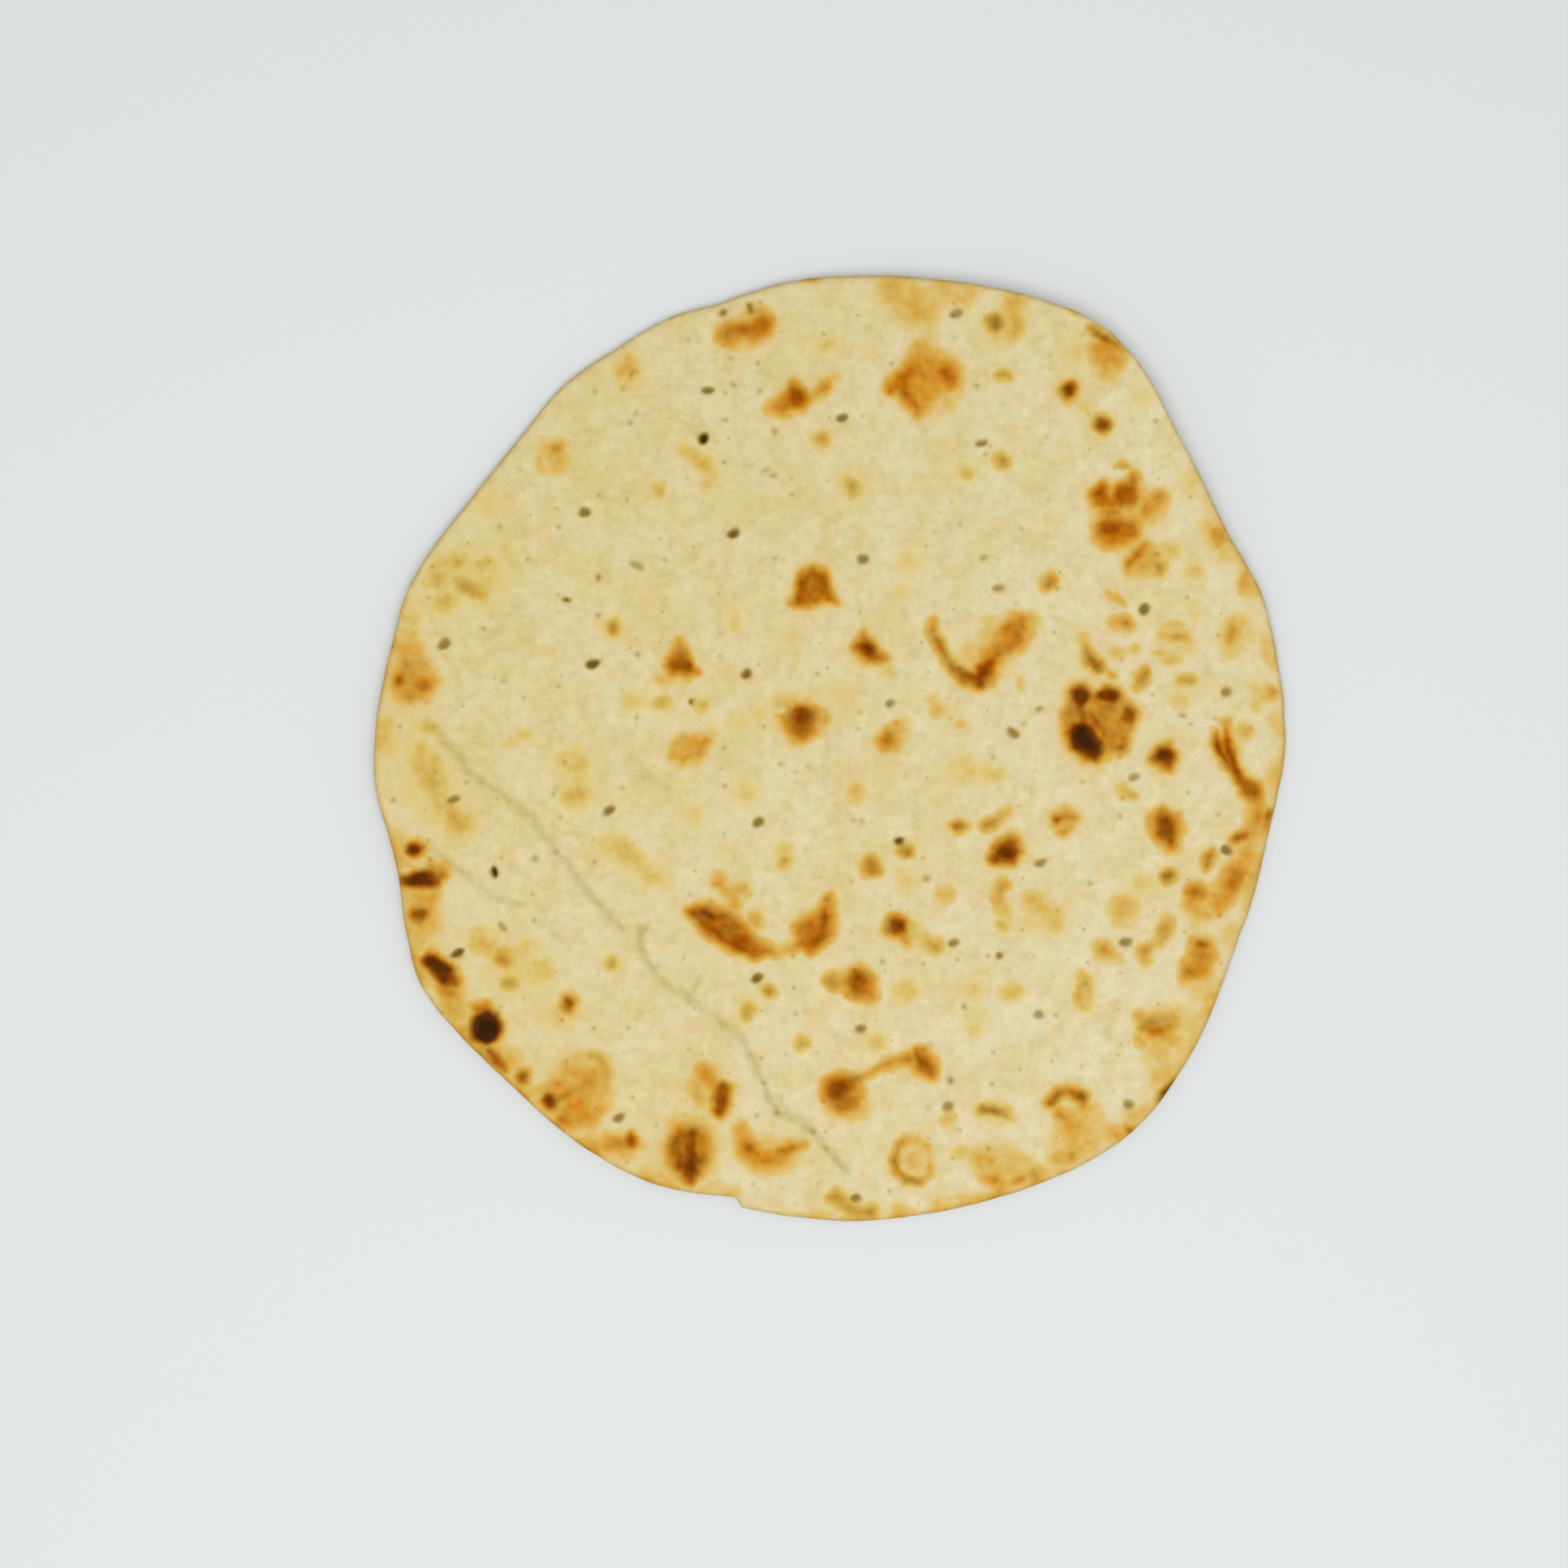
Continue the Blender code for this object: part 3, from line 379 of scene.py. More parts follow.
        (25.3, -109.5, 1.1), (26.2, -106.2, 1)),
    dab(.13, 2.6, .6, 21.4, -106.4, 8, 9),
    stroke((.22, .3, .22), 1.8, .6, (23, -103.4, .8), (20.6, -106, 1), (22.6, -109, .8)),
    stroke((.74, .64, .64, .74, .56), 2.1, .5, (57, -91.4, 2.4), (58.8, -89.4, 2.2), (61.4, -89, 2),
        (64.2, -89.8, 2.8), (65, -91.6, 1.6)),
    stroke((.54, .56, .44), 2, .5, (59.2, -94.2, 1.8), (60.8, -95.4, 2), (62.4, -96.8, 1.6)),
    dab(.3, 3, .7, 63, -97, 7), dab(.26, 3, .5, 67, -94.2, 4.4),
    stroke((.58, .72, .5), 1.9, .15, (40, -93, 1.8), (42.6, -93.8, 2), (45.4, -94.9, 1.6)),
    dab(.24, 2.6, .3, 42.8, -94.2, 9, 4, -18), dab(.28, 2.4, .3, 30.6, -96.1, 2.6, 2.2),
    dab(.22, 2.4, 0, 33.2, -104.6, 2.4, 2.8), dab(.19, 3, .1, 19.4, -62.6, 6, 3.6, 20),
    dab(.2, 3, .2, 36.8, -62, 3), dab(.19, 2.8, .2, 46.8, -62.6, 5, 3), dab(.14, 3, .2, 37, -72, 3.4, 4),
    dab(.22, 2.8, .1, 12.2, -75.8, 2.6),
    # near edge at the right
    dab(.2, 4, .4, 44, -107.4, 13, 7.6, -8), dab(.34, 3.4, .35, 39.6, -106, 4.6, 3.6),
    dab(.2, 3.4, .4, 49.4, -107.6, 4.6, 3.6), dab(.56, 2.2, .4, 48.7, -111.2, 3.2, 2.2, 10),
    dab(.4, 2.4, .8, 42.4, -111.4, 5, 2.6, -5),
    stroke((.52, .46, .46, .54), 2.4, .5, (1.2, -116, 2.6), (3.4, -118.4, 2.6), (6.8, -119.8, 2.4),
        (10.4, -119.8, 2.4)),
    dab(.16, 3, .8, 71, -98, 4, 3), dab(.6, 1.8, .4, 77.3, -98.4, 2.6, 2),
    dab(.38, 3, .8, 74, -99.6, 3, 2.6), dab(.54, 2.2, .4, 62.5, -105.4, 2.6),
    dab(.34, 2.6, .5, 59, -105, 3.4, 3), dab(.22, 4, .6, 64, -101.4, 11, 8, 25),
    # lower right
    stroke((.38, .42, .38, .42, .26, .38), 2, .15, (65.4, -58.8, 1), (64.4, -62, 1), (64.8, -65.6, 1.2),
        (66.2, -66.8, 1.2), (67, -63.4, 1), (66.2, -59.4, 1)),
    dab(.2, 2.6, .5, 65.7, -62.8, 3, 7, 8), dab(.32, 3.4, .3, 75.6, -41.6, 4.4, 6.2),
    stroke((.44, .5, .3, .32, .5, .44), 2.4, .35, (87.6, -44.8, 2), (86.8, -46.8, 2.6), (85.4, -49.4, 1.6),
        (83.6, -51, 1.6), (81.9, -52.4, 2.8), (81.4, -53.8, 1.8)),
    stroke((.5, .36, .28), 2.4, .45, (70.4, -51.8, 3.2), (72, -53.4, 2.2), (74.2, -54.4, 1.6)),
    patch(.5, 2.8, .75, (93.6, -49.8), (98, -49.6), (99, -54), (97.2, -58.8), (91.2, -59.6), (91, -56.4),
        (93.6, -54)),
    dab(.7, 2.2, .4, 95.9, -50.8, 3.2, 2.2), dab(.58, 2.2, .5, 92.4, -57.6, 3, 2.4),
    dab(.46, 2.4, .7, 84.9, -72, 8.8, 5.8), dab(.36, 2, .4, 80, -68.8, 2.4),
    dab(.3, 2, .3, 88.4, -69.4, 2.4), dab(.38, 2, .5, 80.2, -75, 2.4), dab(.38, 2, .6, 88.4, -75, 3, 2),
    dab(.2, 3.4, .3, 86.4, -71.4, 13, 9),
    stroke((.56, .5, .48), 2, .3, (80.6, -72.4, 1.8), (82.4, -70.2, 1.8), (86, -69.8, 1.8)),
    dab(.62, 2.8, .7, 85.2, -72.6, 4, 3.8), dab(.17, 4, .4, 85, -80.4, 6, 11, 10),
    dab(.34, 3.4, .5, 86.2, -84.4, 3.4),
    stroke((.5, .84, .7), 1.8, .2, (84.8, -91, 1.4), (86.4, -89.2, 2.4), (88.2, -86.6, 2)),
    dab(.16, 4.4, .3, 94, -71.6, 5, 9, -20),
    # right side
    dab(.44, 2.6, .6, 100.6, 54.8, 3.6, 4, 20), dab(.16, 3.6, .4, 99, 56, 6, 7),
    dab(.34, 2.6, .5, 107.4, 43, 2.8, 4.2), dab(.2, 3.6, .3, 104.8, 29.4, 7, 8.6),
    dab(.44, 2.4, .5, 103.9, 29.6, 2.4, 5), dab(.26, 2.4, .1, 104.6, 33.6, 3.4, 1.8),
    dab(.22, 2.8, .15, 93.8, 46.6, 3.6, 2.4), dab(.14, 4, .2, 93.5, 68.5, 4, 5),
    dab(.34, 2.2, .5, 113.8, 14.2, 1.8, 2.4),
    stroke((.16, .26, .2), 2.8, .3, (110, 16, 1.6), (111.4, 13.4, 1.6), (110.4, 11, 1.4)),
    stroke((.4, .54, .66, .76), 2.2, .4, (65.7, 28.2, 1.6), (66.8, 25.2, 2.2), (68, 22.8, 2.6),
        (69, 21.2, 2.4)),
    dab(.44, 1.8, .4, 72.6, 19.2, 2, 1.2, -30), dab(.3, 2, .3, 74.2, 25.4, 2.4, 1.4),
    dab(.22, 2.2, .4, 78.8, 25.8, 2.4, 1.4), dab(.28, 2.2, .5, 85.6, 25.2, 2.4, 1.4),
    stroke((.3, .44, .4), 1.8, .4, (85.6, 29.4, .7), (89, 29.2, 1), (92.4, 28.6, .9)),
    stroke((.22, .3, .12), 1.8, .3, (86, 31.8, .6), (89, 31.6, .8), (92, 32.4, .6)),
    dab(.11, 4, .4, 90, 27, 11, 7), dab(.24, 2.6, .1, 88.2, 23, 2.6, 1.8),
    dab(.5, 2.4, .4, 80.4, 18.5, 2.4, 4.8, -25), dab(.5, 2.2, .1, 91.9, 17.8, 3.2, 1.8),
    dab(.2, 2.4, .2, 90, 12.4, 2.8, 2.2),
    # the great charred blister
    patch(.5, 2.2, .65, (59.8, 9), (61.8, 13.2), (65.4, 15.6), (70, 15.2), (74.2, 15), (78, 11.2),
        (78.2, 6.4), (76.2, 1), (72, -2.4), (66, -3), (60.8, 2)),
    dab(.89, 2.2, .45, 65, 13.6, 5, 5.4, 20),
    stroke((.74, .72), 2.2, .4, (64.8, 10.6, 3.4), (65, 7.6, 3.8)),
    dab(.86, 2.2, .4, 71.8, 13.8, 6.4, 4.2), dab(.74, 2.2, .45, 77.2, 9, 4.2, 5),
    patch(.87, 2.2, .4, (60.8, 4.4), (62.4, 6.8), (65.6, 7), (68.6, 5), (70.4, 1.4), (70.6, -1.6),
        (69, -3.6), (66, -2.4), (62.4, .4)),
    dab(.87, 3, .5, 65, 3, 7, 6, -40), dab(.85, 3, .4, 67.4, .4, 5.4, 5, -40),
    stroke((.54, .2), 2.2, .6, (77.6, 6, 2), (77.2, 3.6, 1.4)), dab(.64, 2.4, .7, 69.2, 6, 2.6, 8, 34),
    dab(.7, 2.2, .2, 74.6, .2, 3.6, 2.6, 20), dab(.16, 2.6, .5, 69, 6.4, 20, 19.6),
    # right of the char
    patch(.74, 2.2, .5, (82.4, -2.6), (85, .3), (87.8, 1), (89.2, -1.8), (88.2, -5.2), (85.2, -4.6)),
    dab(.83, 2.2, .55, 86.6, -1.9, 4.8),
    patch(.54, 2.6, .6, (82.8, -17.6), (86, -15.6), (90.2, -17.4), (91, -21), (90, -25.4), (87.8, -25.6),
        (84, -22.8)),
    dab(.79, 2.6, .55, 86.9, -20.4, 5.6, 6), stroke((.7, .6), 2, .45, (88.4, -23, 2.6), (89, -25, 1.6)),
    stroke((.24, .36, .38, .28), 2, .15, (74.2, -9.8, 1.2), (76, -10, 1.4), (77.6, -12, 1.6),
        (75.6, -12, 1)),
    # the streak at the right edge
    stroke((.54, .74, .84, .66), 1.8, .65, (99.6, 4.4, 1.4), (100.2, 1.6, 1.9), (101, -1.4, 1.9),
        (102.8, -4.4, 1.8)),
    stroke((.56, .76, .84, .74, .7, .64), 2, .7, (102.4, 6.4, 1.6), (103, 2.6, 2.1), (103.2, -1.4, 2.4),
        (104.6, -5.2, 2.3), (106.6, -8.4, 3), (108.6, -10.4, 4.2)),
    dab(.62, 2.6, .6, 109.1, -11, 5.4, 5.2), dab(.34, 2.4, .15, 107.5, 4.6, 2.4),
    stroke((.38, .42, .4, .32, .42), 3, .7, (110, -14, 3.2), (110.6, -17.5, 3.2), (109.8, -21, 3.2),
        (108.4, -25.5, 3.4), (106.8, -29.5, 4)),
    stroke((.7, .6), 1.8, .5, (113.3, -16.6, 1.8), (112.8, -18, 1.4)),
    dab(.5, 2, .5, 112.2, -20.6, 1.6, 2.2), dab(.66, 2.4, .6, 106.4, -22.7, 4, 2.6, 10),
    dab(.58, 3, .65, 104.6, -33.4, 4.8, 7, -25),
    stroke((.46, .4), 3, .65, (102.4, -37, 4.4), (100.4, -40, 3.8)),
    dab(.62, 2.4, .5, 98, -28.7, 2.6, 4, -30), dab(.12, 3, .4, 97.6, -28.4, 5, 6),
    dab(.66, 2.2, .2, 87.4, -33.2, 3, 2.6), dab(.26, 2.8, 0, 80.6, -34.6, 4, 1.8),
    dab(.56, 2.4, .6, 94.6, -37.1, 5, 4.2),
    stroke((.44, .28, .26), 2.8, .6, (93.2, -40, 2.4), (95, -42, 2.2), (98.5, -42.4, 2.6)),
    dab(.1, 4, .4, 95, -45, 7, 6), dab(.2, 4, .4, 96.6, -63, 4, 6),
)

# Creases where the bread was folded: depth, the darkness of the shade painted along it, and the points that
# each passes through.
CREASES = (
    (.5, .66, (-103.7, 6.7), (-98, 0), (-95, -4), (-88, -9.5), (-84, -13), (-77, -17.5), (-75, -22),
     (-70, -27), (-67.5, -30.5), (-62, -37), (-59, -40.5), (-55.5, -44), (-53.6, -46.5)),
    (.5, .7, (-48.4, -46.5), (-48.7, -50), (-48, -54), (-45, -58.8), (-41.6, -61.8), (-37, -63.8),
    (-33.4, -66.6),
     (-28.4, -70), (-23.6, -74.3), (-20.1, -79.4), (-17.1, -86.3), (-13.8, -93.8)),
    (.45, .8, (-14, -94), (-8, -95.4), (-4.4, -99), (.6, -105), (4.7, -109.4)),
    (.25, .4, (-13.7, -90), (-11, -93.5)),
    (.3, .45, (-33.8, -58.6), (-35, -61.5), (-37, -63.8)),
    (.35, .5, (-104, -24), (-98, -29), (-91.5, -35), (-83.5, -39), (-80, -40)),
    (.2, .35, (-75, -45), (-72.5, -46.6), (-70, -49)),
    (.2, .3, (-53, 0), (-48.5, -6), (-42, -10)),
    (.15, .3, (-81, 39), (-84, 34.5), (-88, 29)),
    (.15, .25, (-97, 20), (-96.6, 15.5), (-97, 11)),
    (.15, .25, (-84.5, 53), (-83.5, 50), (-81.5, 47)),
    (.15, .25, (75, -66), (73, -68), (71.8, -71.5), (71.5, -75.5)),
    (.15, .25, (22.4, 87), (24, 84), (24.2, 82)),
    (.15, .4, (-1.8, 6), (-1, 1), (-1.2, -4), (-2, -8.6)),
    (.15, .3, (16.6, 19), (19.6, 22.4), (23.4, 26.8)),
)
CREASE_HALF_WIDTH = 1.9
CREASE_WANDER = 0.8

# Holes from the docking roller: (x, y, length, width, bearing, depth, how dark, from soot and painted
# shade).
HOLES = (
    (-31.5, 93, 3.4, 2.2, 15, 1.3, .68), (3, 85.8, 2.8, 2.2, 10, 1.2, .65),
    (39, 79.3, 3.2, 1.7, 5, 1.1, .6), (32.5, 112.7, 3.2, 2, 25, 1.1, .52),
    (-63.7, 61.4, 3.2, 2.4, 10, 1.3, .68), (-25, 55.9, 3.5, 2.3, 25, 1.3, .8),
    (8.3, 49, 2.8, 2.2, 10, 1.2, .63), (43.5, 42, 3.2, 1.7, 10, 1, .42),
    (81.3, 36.3, 2.9, 2.4, 30, 1.3, .7), (-99.8, 27.3, 3.2, 2.4, 40, 1.2, .6),
    (-61.5, 22.1, 3.4, 2.3, 20, 1.4, .81), (-22, 19.6, 2.8, 2.4, 30, 1.2, .72),
    (15.8, 12, 2.8, 2.1, 10, 1.1, .53), (47, 4.2, 3.6, 2.2, -35, 1.2, .6),
    (78.5, -7, 3, 2.2, 35, 1.2, .47), (102.8, 15, 3.2, 2, 25, 1.1, .54),
    (-97.1, -12.7, 3, 1.9, 25, 1.1, .55), (-57.5, -16, 3.8, 2.2, 35, 1.2, .66),
    (-18.7, -19, 3.1, 2.3, 25, 1.2, .67), (54.3, -29.5, 3.2, 2.1, 10, 1.1, .57),
    (102.7, -26, 2.8, 2.8, 60, 1.3, .68), (-96.3, -52.6, 3.2, 1.9, 35, 1.2, .8),
    (-18.8, -59, 3.3, 2.3, 40, 1.3, .74), (31.9, -49.9, 2.8, 2, 20, 1.1, .57),
    (43.6, -53.5, 2, 1.7, 0, 1, .66), (76.6, -50, 3.4, 2, 5, 1.2, .6),
    (8, -72.4, 2.7, 2.5, 0, 1.1, .6), (53.9, -68.5, 2.8, 2.5, 20, 1.1, .52),
    (-54.5, -95.3, 3, 2.2, 30, 1.2, .62), (30.4, -92.7, 2.7, 2.5, 20, 1.1, .55),
    (77.2, -91.8, 2.9, 2.2, 10, 1.1, .55), (6.8, -116.2, 2.6, 2.3, 10, 1.2, .64),
    (-32.9, 80.7, 3.3, 2.8, 80, 1.2, 1), (-87, -32, 1.7, 2.9, 10, 1.1, 1),
    (-50, 47.3, 3.2, 1.7, -30, .7, .4), (-84.8, -45.7, 3, 1.5, -45, .6, .38),
)

# Sooty specks: (x, y, width, height, how sooty).
SPECKS = (
    (-68.3, 38.5, 2.2, 1.7, .84), (39.5, 50, 2, 1.8, .44), (54, 10.3, 2.4, 1.2, .52),
    (91, 9, 2.2, 1.1, .42), (26.3, -76.5, 1.4, 1.2, .3), (34.5, -66.5, 1.4, 1.6, .5),
    (-76, -28.5, 1.6, 1.6, .48), (-60, 44, 1.6, 2, .54), (-60, 34.5, 1.5, 1.5, .5),
    (-84.5, 18, 1.4, 1.4, .3), (-90, 31, 1.4, 1.4, .42), (-25, 94, 1.4, 1.4, .4),
    (-27, 85, 1.8, 1.4, .4), (-14.5, 82, 1.2, 2, .36), (38, 93.8, 1.3, 1.6, .44),
    (-16.6, 72, 2.4, 1.2, .33), (-14.4, 70.6, 2, 1.2, .44), (-50.6, 87, 1.4, 1.2, .36),
    (-14.4, 49, 1.2, 1.2, .36), (-71.6, -11.6, 1.1, 1.6, .44), (-113, -13.6, 1.4, 1.2, .5),
    (-70, 57.8, 1.2, 1.2, .44), (-38, -54, .9, 1.4, .36), (17.9, -23.8, 2.4, 2.2, .92),
    (-28, 113, 2, 2, .7), (-20.8, 114, 1.4, 2.6, .7), (-36, 12.1, 1.2, 1.8, .85),
    (-13.7, 11.6, 1.2, 1.2, .3), (7.3, 9.9, 1.2, 1.2, .34), (-3, 19.3, 1.2, 1.2, .32),
    (-13.3, -3.9, 1.2, 1.2, .36), (-6, -4.7, 1.2, 1.4, .33), (7.7, -18.4, 1.2, 1.2, .36),
    (25.3, -33.4, 1.5, 1.5, .46), (-27.4, .4, 1.4, 1.4, .4), (-9.4, -6, 1.2, 1.2, .3),
    (-50.4, 8.1, 1.4, 1.2, .42), (-50.2, 24.4, 1.2, 1.4, .5), (31.7, -85.8, 1.8, 1.8, .56),
    (25.3, -92.7, 1.3, 1.3, .25), (13.3, -55, 1.2, 1.2, .42), (-4.3, -99, 2, 2, .3),
    (-14, -94, 2, 1.8, .33),
)
OVAL_REACH = 4.0  # more than a hole or speck and its soft edge measure
OVAL_FALL = 1.5  # over which the edge of a hole or speck fades
HOLE_MARGIN = 0.5  # how far past its outline that fade ends
HOLE_SOOT_AND_SHADE_MARGIN = 0.75
SPECK_MARGIN = 0.7

# Tone of the dough just inside the edge: (bearing in degrees, how far in it reaches, tone).
EDGE_TONES = (
    (0, 5, .1), (10, 5, .08), (20, 9, .13), (30, 5, .13), (42, 4, .03), (50, 4, .03), (62, 4, .02),
    (72, 6, .08), (82, 6, .13), (92, 3, .03), (100, 4, .03), (116, 3, .02), (140, 3, .03),
    (154, 4, .07), (166, 5, .13), (172, 6, .16), (182, 5, .1), (190, 5, .13), (200, 6, .22),
    (212, 6, .2), (222, 6, .28), (232, 7, .28), (240, 8, .21), (248, 7, .18), (256, 5, .11),
    (264, 4, .1), (272, 4, .23), (282, 6, .16), (290, 6, .21), (298, 6, .2), (305, 5, .13),
    (312, 5, .12), (322, 7, .15), (330, 7, .14), (338, 6, .08), (346, 7, .33), (353, 6, .18),
)
EDGE_UNEVENNESS = ((6.0, 0.5, 5), (5.0, 0.75, 4))  # of the reach and the tone: (span, share, seed)
EDGE_FADE = 1.25  # where the toasting ends, as a share of its reach

# ---------------- the mesh
FINE = 0.56  # spacing of the lattice where there is detail
COARSE_STEPS = 2  # the rest of the baked face takes every second point each way
UNDER_STEPS = 4
RIM_SPACING = 0.9
TOP_INSETS = (0.0, 0.1, 0.32, 0.68, 1.15, 1.75, 2.4)
UNDER_INSETS = (0.0, 0.1, 0.4, 1.1, 2.4)
LATTICE_REACH = 1.15  # as a share of RADIUS
HOLE_RINGS = ((0.34, 6), (0.72, 10), (1.1, 14), (1.5, 18))  # (share of the hole's size, points)
CLEAR_OF_HOLE = 0.74
DETAIL_STEP = 0.10  # the mesh is fine where the tone changes by more than this
DETAIL_SPAN = 0.9  # over this distance
DETAIL_HEAT = 0.62  # and where it is darker than this
DETAIL_SOOT_AND_SHADE = 0.05
DETAIL_CREASE = 0.12
JITTER = 0.09
NEAR = 1e-5

# ---------------- the crust's colours, as seen, 0 to 255
DOUGH = (225.5, 209.0, 158.0)
DOUGH_PER_RIGHT = (2.0, 3.0, 8.0)  # change over 100 mm to the right
DOUGH_PER_NEAR = (1.1, 1.0, 3.0)  # change over 100 mm towards the near edge
TOASTED = (
    (0, (224, 207, 156)), (.1, (223, 197, 128)), (.2, (219, 184, 100)), (.3, (213, 170, 79)),
    (.4, (206, 156, 60)),
    (.5, (195, 139, 43)), (.6, (181, 118, 25)), (.7, (163, 96, 9)), (.8, (138, 72, 0)), (.9, (99, 48, 0)),
    (1, (60, 31, 3)),
)
WARMER = (13, -4, -15)  # added on the orange side and taken off on the olive side
YELLOWER = (7, 7, -6)  # added on the olive side where the toasting is faint
# What soot, and the shade painted into the holes, leave of each colour
SOOT_AND_SHADE = (
    (0, (1, 1, 1)), (.3, (.75, .70, .54)), (.6, (.49, .40, .175)), (.8, (.28, .205, .055)),
    (1, (.08, .05, .006)),
)
CREASED = (.72, .70, .50)  # painted shade: what the shade in a crease, and at the lip, leaves of each colour
# painted shade at the rounded lip
AT_THE_LIP = (.76, .68, .62)
LIP_SHADE = 1.5  # how far in, in millimetres, the lip's shade reaches


def smooth(value):
    value = np.clip(value, 0.0, 1.0)
    return value * value * (3 - 2 * value)


def wander(x, y, span, seed):
    """Smooth noise from -1 to 1 that changes over this span."""
    table = np.random.RandomState(seed).uniform(-1, 1, (256, 256))
    u = x / span + 128.3
    v = y / span + 128.7
    i = np.floor(u).astype(int)
    j = np.floor(v).astype(int)
    along = smooth(u - i)
    across = smooth(v - j)
    near = table[i % 256, j % 256] * (1 - along) + table[(i + 1) % 256, j % 256] * along
    far = table[i % 256, (j + 1) % 256] * (1 - along) + table[(i + 1) % 256, (j + 1) % 256] * along
    return near * (1 - across) + far * across


# ---------------- outline and thickness
def outline_radius(bearing):
    """The distance from the middle to the edge: a smooth closed curve through OUTLINE, and the tear."""
    bearing = np.mod(bearing, 360)
    knots, shares = np.array(OUTLINE).T
    knots = np.concatenate([knots[-2:] - 360, knots, knots[:2] + 360])
    shares = np.concatenate([shares[-2:], shares, shares[:2]])
    slopes = np.zeros(len(knots))
    slopes[1:-1] = (shares[2:] - shares[:-2]) / (knots[2:] - knots[:-2])
    k = np.searchsorted(knots, bearing, side="right") - 1
    span = knots[k + 1] - knots[k]
    t = (bearing - knots[k]) / span
    share = (
        (2 * t**3 - 3 * t**2 + 1) * shares[k]
        + (t**3 - 2 * t**2 + t) * slopes[k] * span
        + (3 * t**2 - 2 * t**3) * shares[k + 1]
        + (t**3 - t**2) * slopes[k + 1] * span
    )
    past = bearing - TEAR_BEARING
    tear = smooth(past) * smooth((TEAR_FADE - past) / (TEAR_EASE * TEAR_FADE))
    return (share + TEAR_STEP * tear) * RADIUS


def rim_bearings():
    """Bearings of the points round the edge, starting at the tear."""
    count = int(2 * math.pi * RADIUS / RIM_SPACING)
    return TEAR_BEARING + 360 * np.arange(count) / count


def rim_ring(inset):
    bearing = rim_bearings()
    radius = outline_radius(bearing) - inset
    turn = np.radians(bearing)
    return np.stack([radius * np.cos(turn), radius * np.sin(turn)], 1)


RIM = rim_ring(0.0)
MIDDLE = (RIM.max(0) + RIM.min(0)) / 2  # of the outline's own box, from the point the bearings turn about


class Place:
    """Where points lie on the bread: x and y from the middle of its box, bearing, share out and inset."""

    def __init__(self, points):
        self.x = points[:, 0]
        self.y = points[:, 1]
        around = points + MIDDLE
        radius = np.hypot(around[:, 0], around[:, 1])
        self.bearing = np.degrees(np.arctan2(around[:, 1], around[:, 0])) % 360
        edge = outline_radius(self.bearing)
        self.share_out = radius / edge
        self.inset = np.maximum(edge - radius, 0.0)


def lift(place):
    """How far the underside stands off the table."""
    outwards = np.maximum(0.0, (place.share_out - FLAT_SHARE) / (1 - FLAT_SHARE))
    rise = np.zeros(len(place.x))
    for middle, spread, height in CURLS:
        turn = np.abs((place.bearing - middle + 180) % 360 - 180)
        rise += height * outwards**2 * np.exp(-((turn / spread) ** 2))
    (x0, y0), (x1, y1) = FLAP_LINE
    length = math.hypot(x1 - x0, y1 - y0)
    past = ((place.x + MIDDLE[0] - x0) * (y1 - y0) - (place.y + MIDDLE[1] - y0) * (x1 - x0)) / length
    return rise + FLAP_SLOPE * np.maximum(0.0, past)


def thickness(place):
    thinned = smooth((place.share_out - THINS_FROM) / (1 - THINS_FROM))
    dough = THICKNESS + (RIM_THICKNESS - THICKNESS) * thinned
    around = zip((place.x + MIDDLE[0]) / UNEVEN_SPAN, (place.y + MIDDLE[1]) / UNEVEN_SPAN)
    return dough + UNEVEN * np.array([noise.noise((x, y, 0.0)) for x, y in around])


def fullness(place):
    """How much of the half thickness is left: 0 on the outline, 1 past the rounded lip."""
    return np.sqrt(1 - (1 - np.clip(place.inset / LIP, 0, 1)) ** 2)


# ---------------- marks on the baked face
def distance_to_chain(x, y, chain):
    """(signed distance, tone) to a chain of (x, y, radius, tone)."""
    best = np.full(x.shape, np.inf)
    tone = np.zeros(x.shape)
    for (ax, ay, ar, at), (bx, by, br, bt) in zip(chain, chain[1:]):
        dx = bx - ax
        dy = by - ay
        t = np.clip(((x - ax) * dx + (y - ay) * dy) / (dx * dx + dy * dy), 0, 1)
        away = np.hypot(x - ax - t * dx, y - ay - t * dy) - (ar + t * (br - ar))
        nearer = away < best
        best = np.where(nearer, away, best)
        tone = np.where(nearer, at + t * (bt - at), tone)
    return best, tone


def distance_to_oval(x, y, middle_x, middle_y, half_wide, half_high, turn):
    cosine = math.cos(math.radians(turn))
    sine = math.sin(math.radians(turn))
    u = (x - middle_x) * cosine + (y - middle_y) * sine
    v = (y - middle_y) * cosine - (x - middle_x) * sine
    share = np.hypot(u / half_wide, v / half_high)
    return (share - 1) * np.hypot(u, v) / np.maximum(share, 1e-6)


def beside(x, y, middle_x, middle_y, reach):
    return (np.abs(x - middle_x) < reach) & (np.abs(y - middle_y) < reach)


def ovals(x, y, shapes, margin):
    """The strongest at each place of the ovals (x, y, length, width, turn, strength), with soft edges."""
    strongest = np.zeros(x.shape)
    for middle_x, middle_y, length, width, turn, strength in shapes:
        near = beside(x, y, middle_x, middle_y, OVAL_REACH)
        away = distance_to_oval(x[near], y[near], middle_x, middle_y, length / 2, width / 2, turn)
        strongest[near] = np.maximum(strongest[near], strength * smooth((margin - away) / OVAL_FALL))
    return strongest


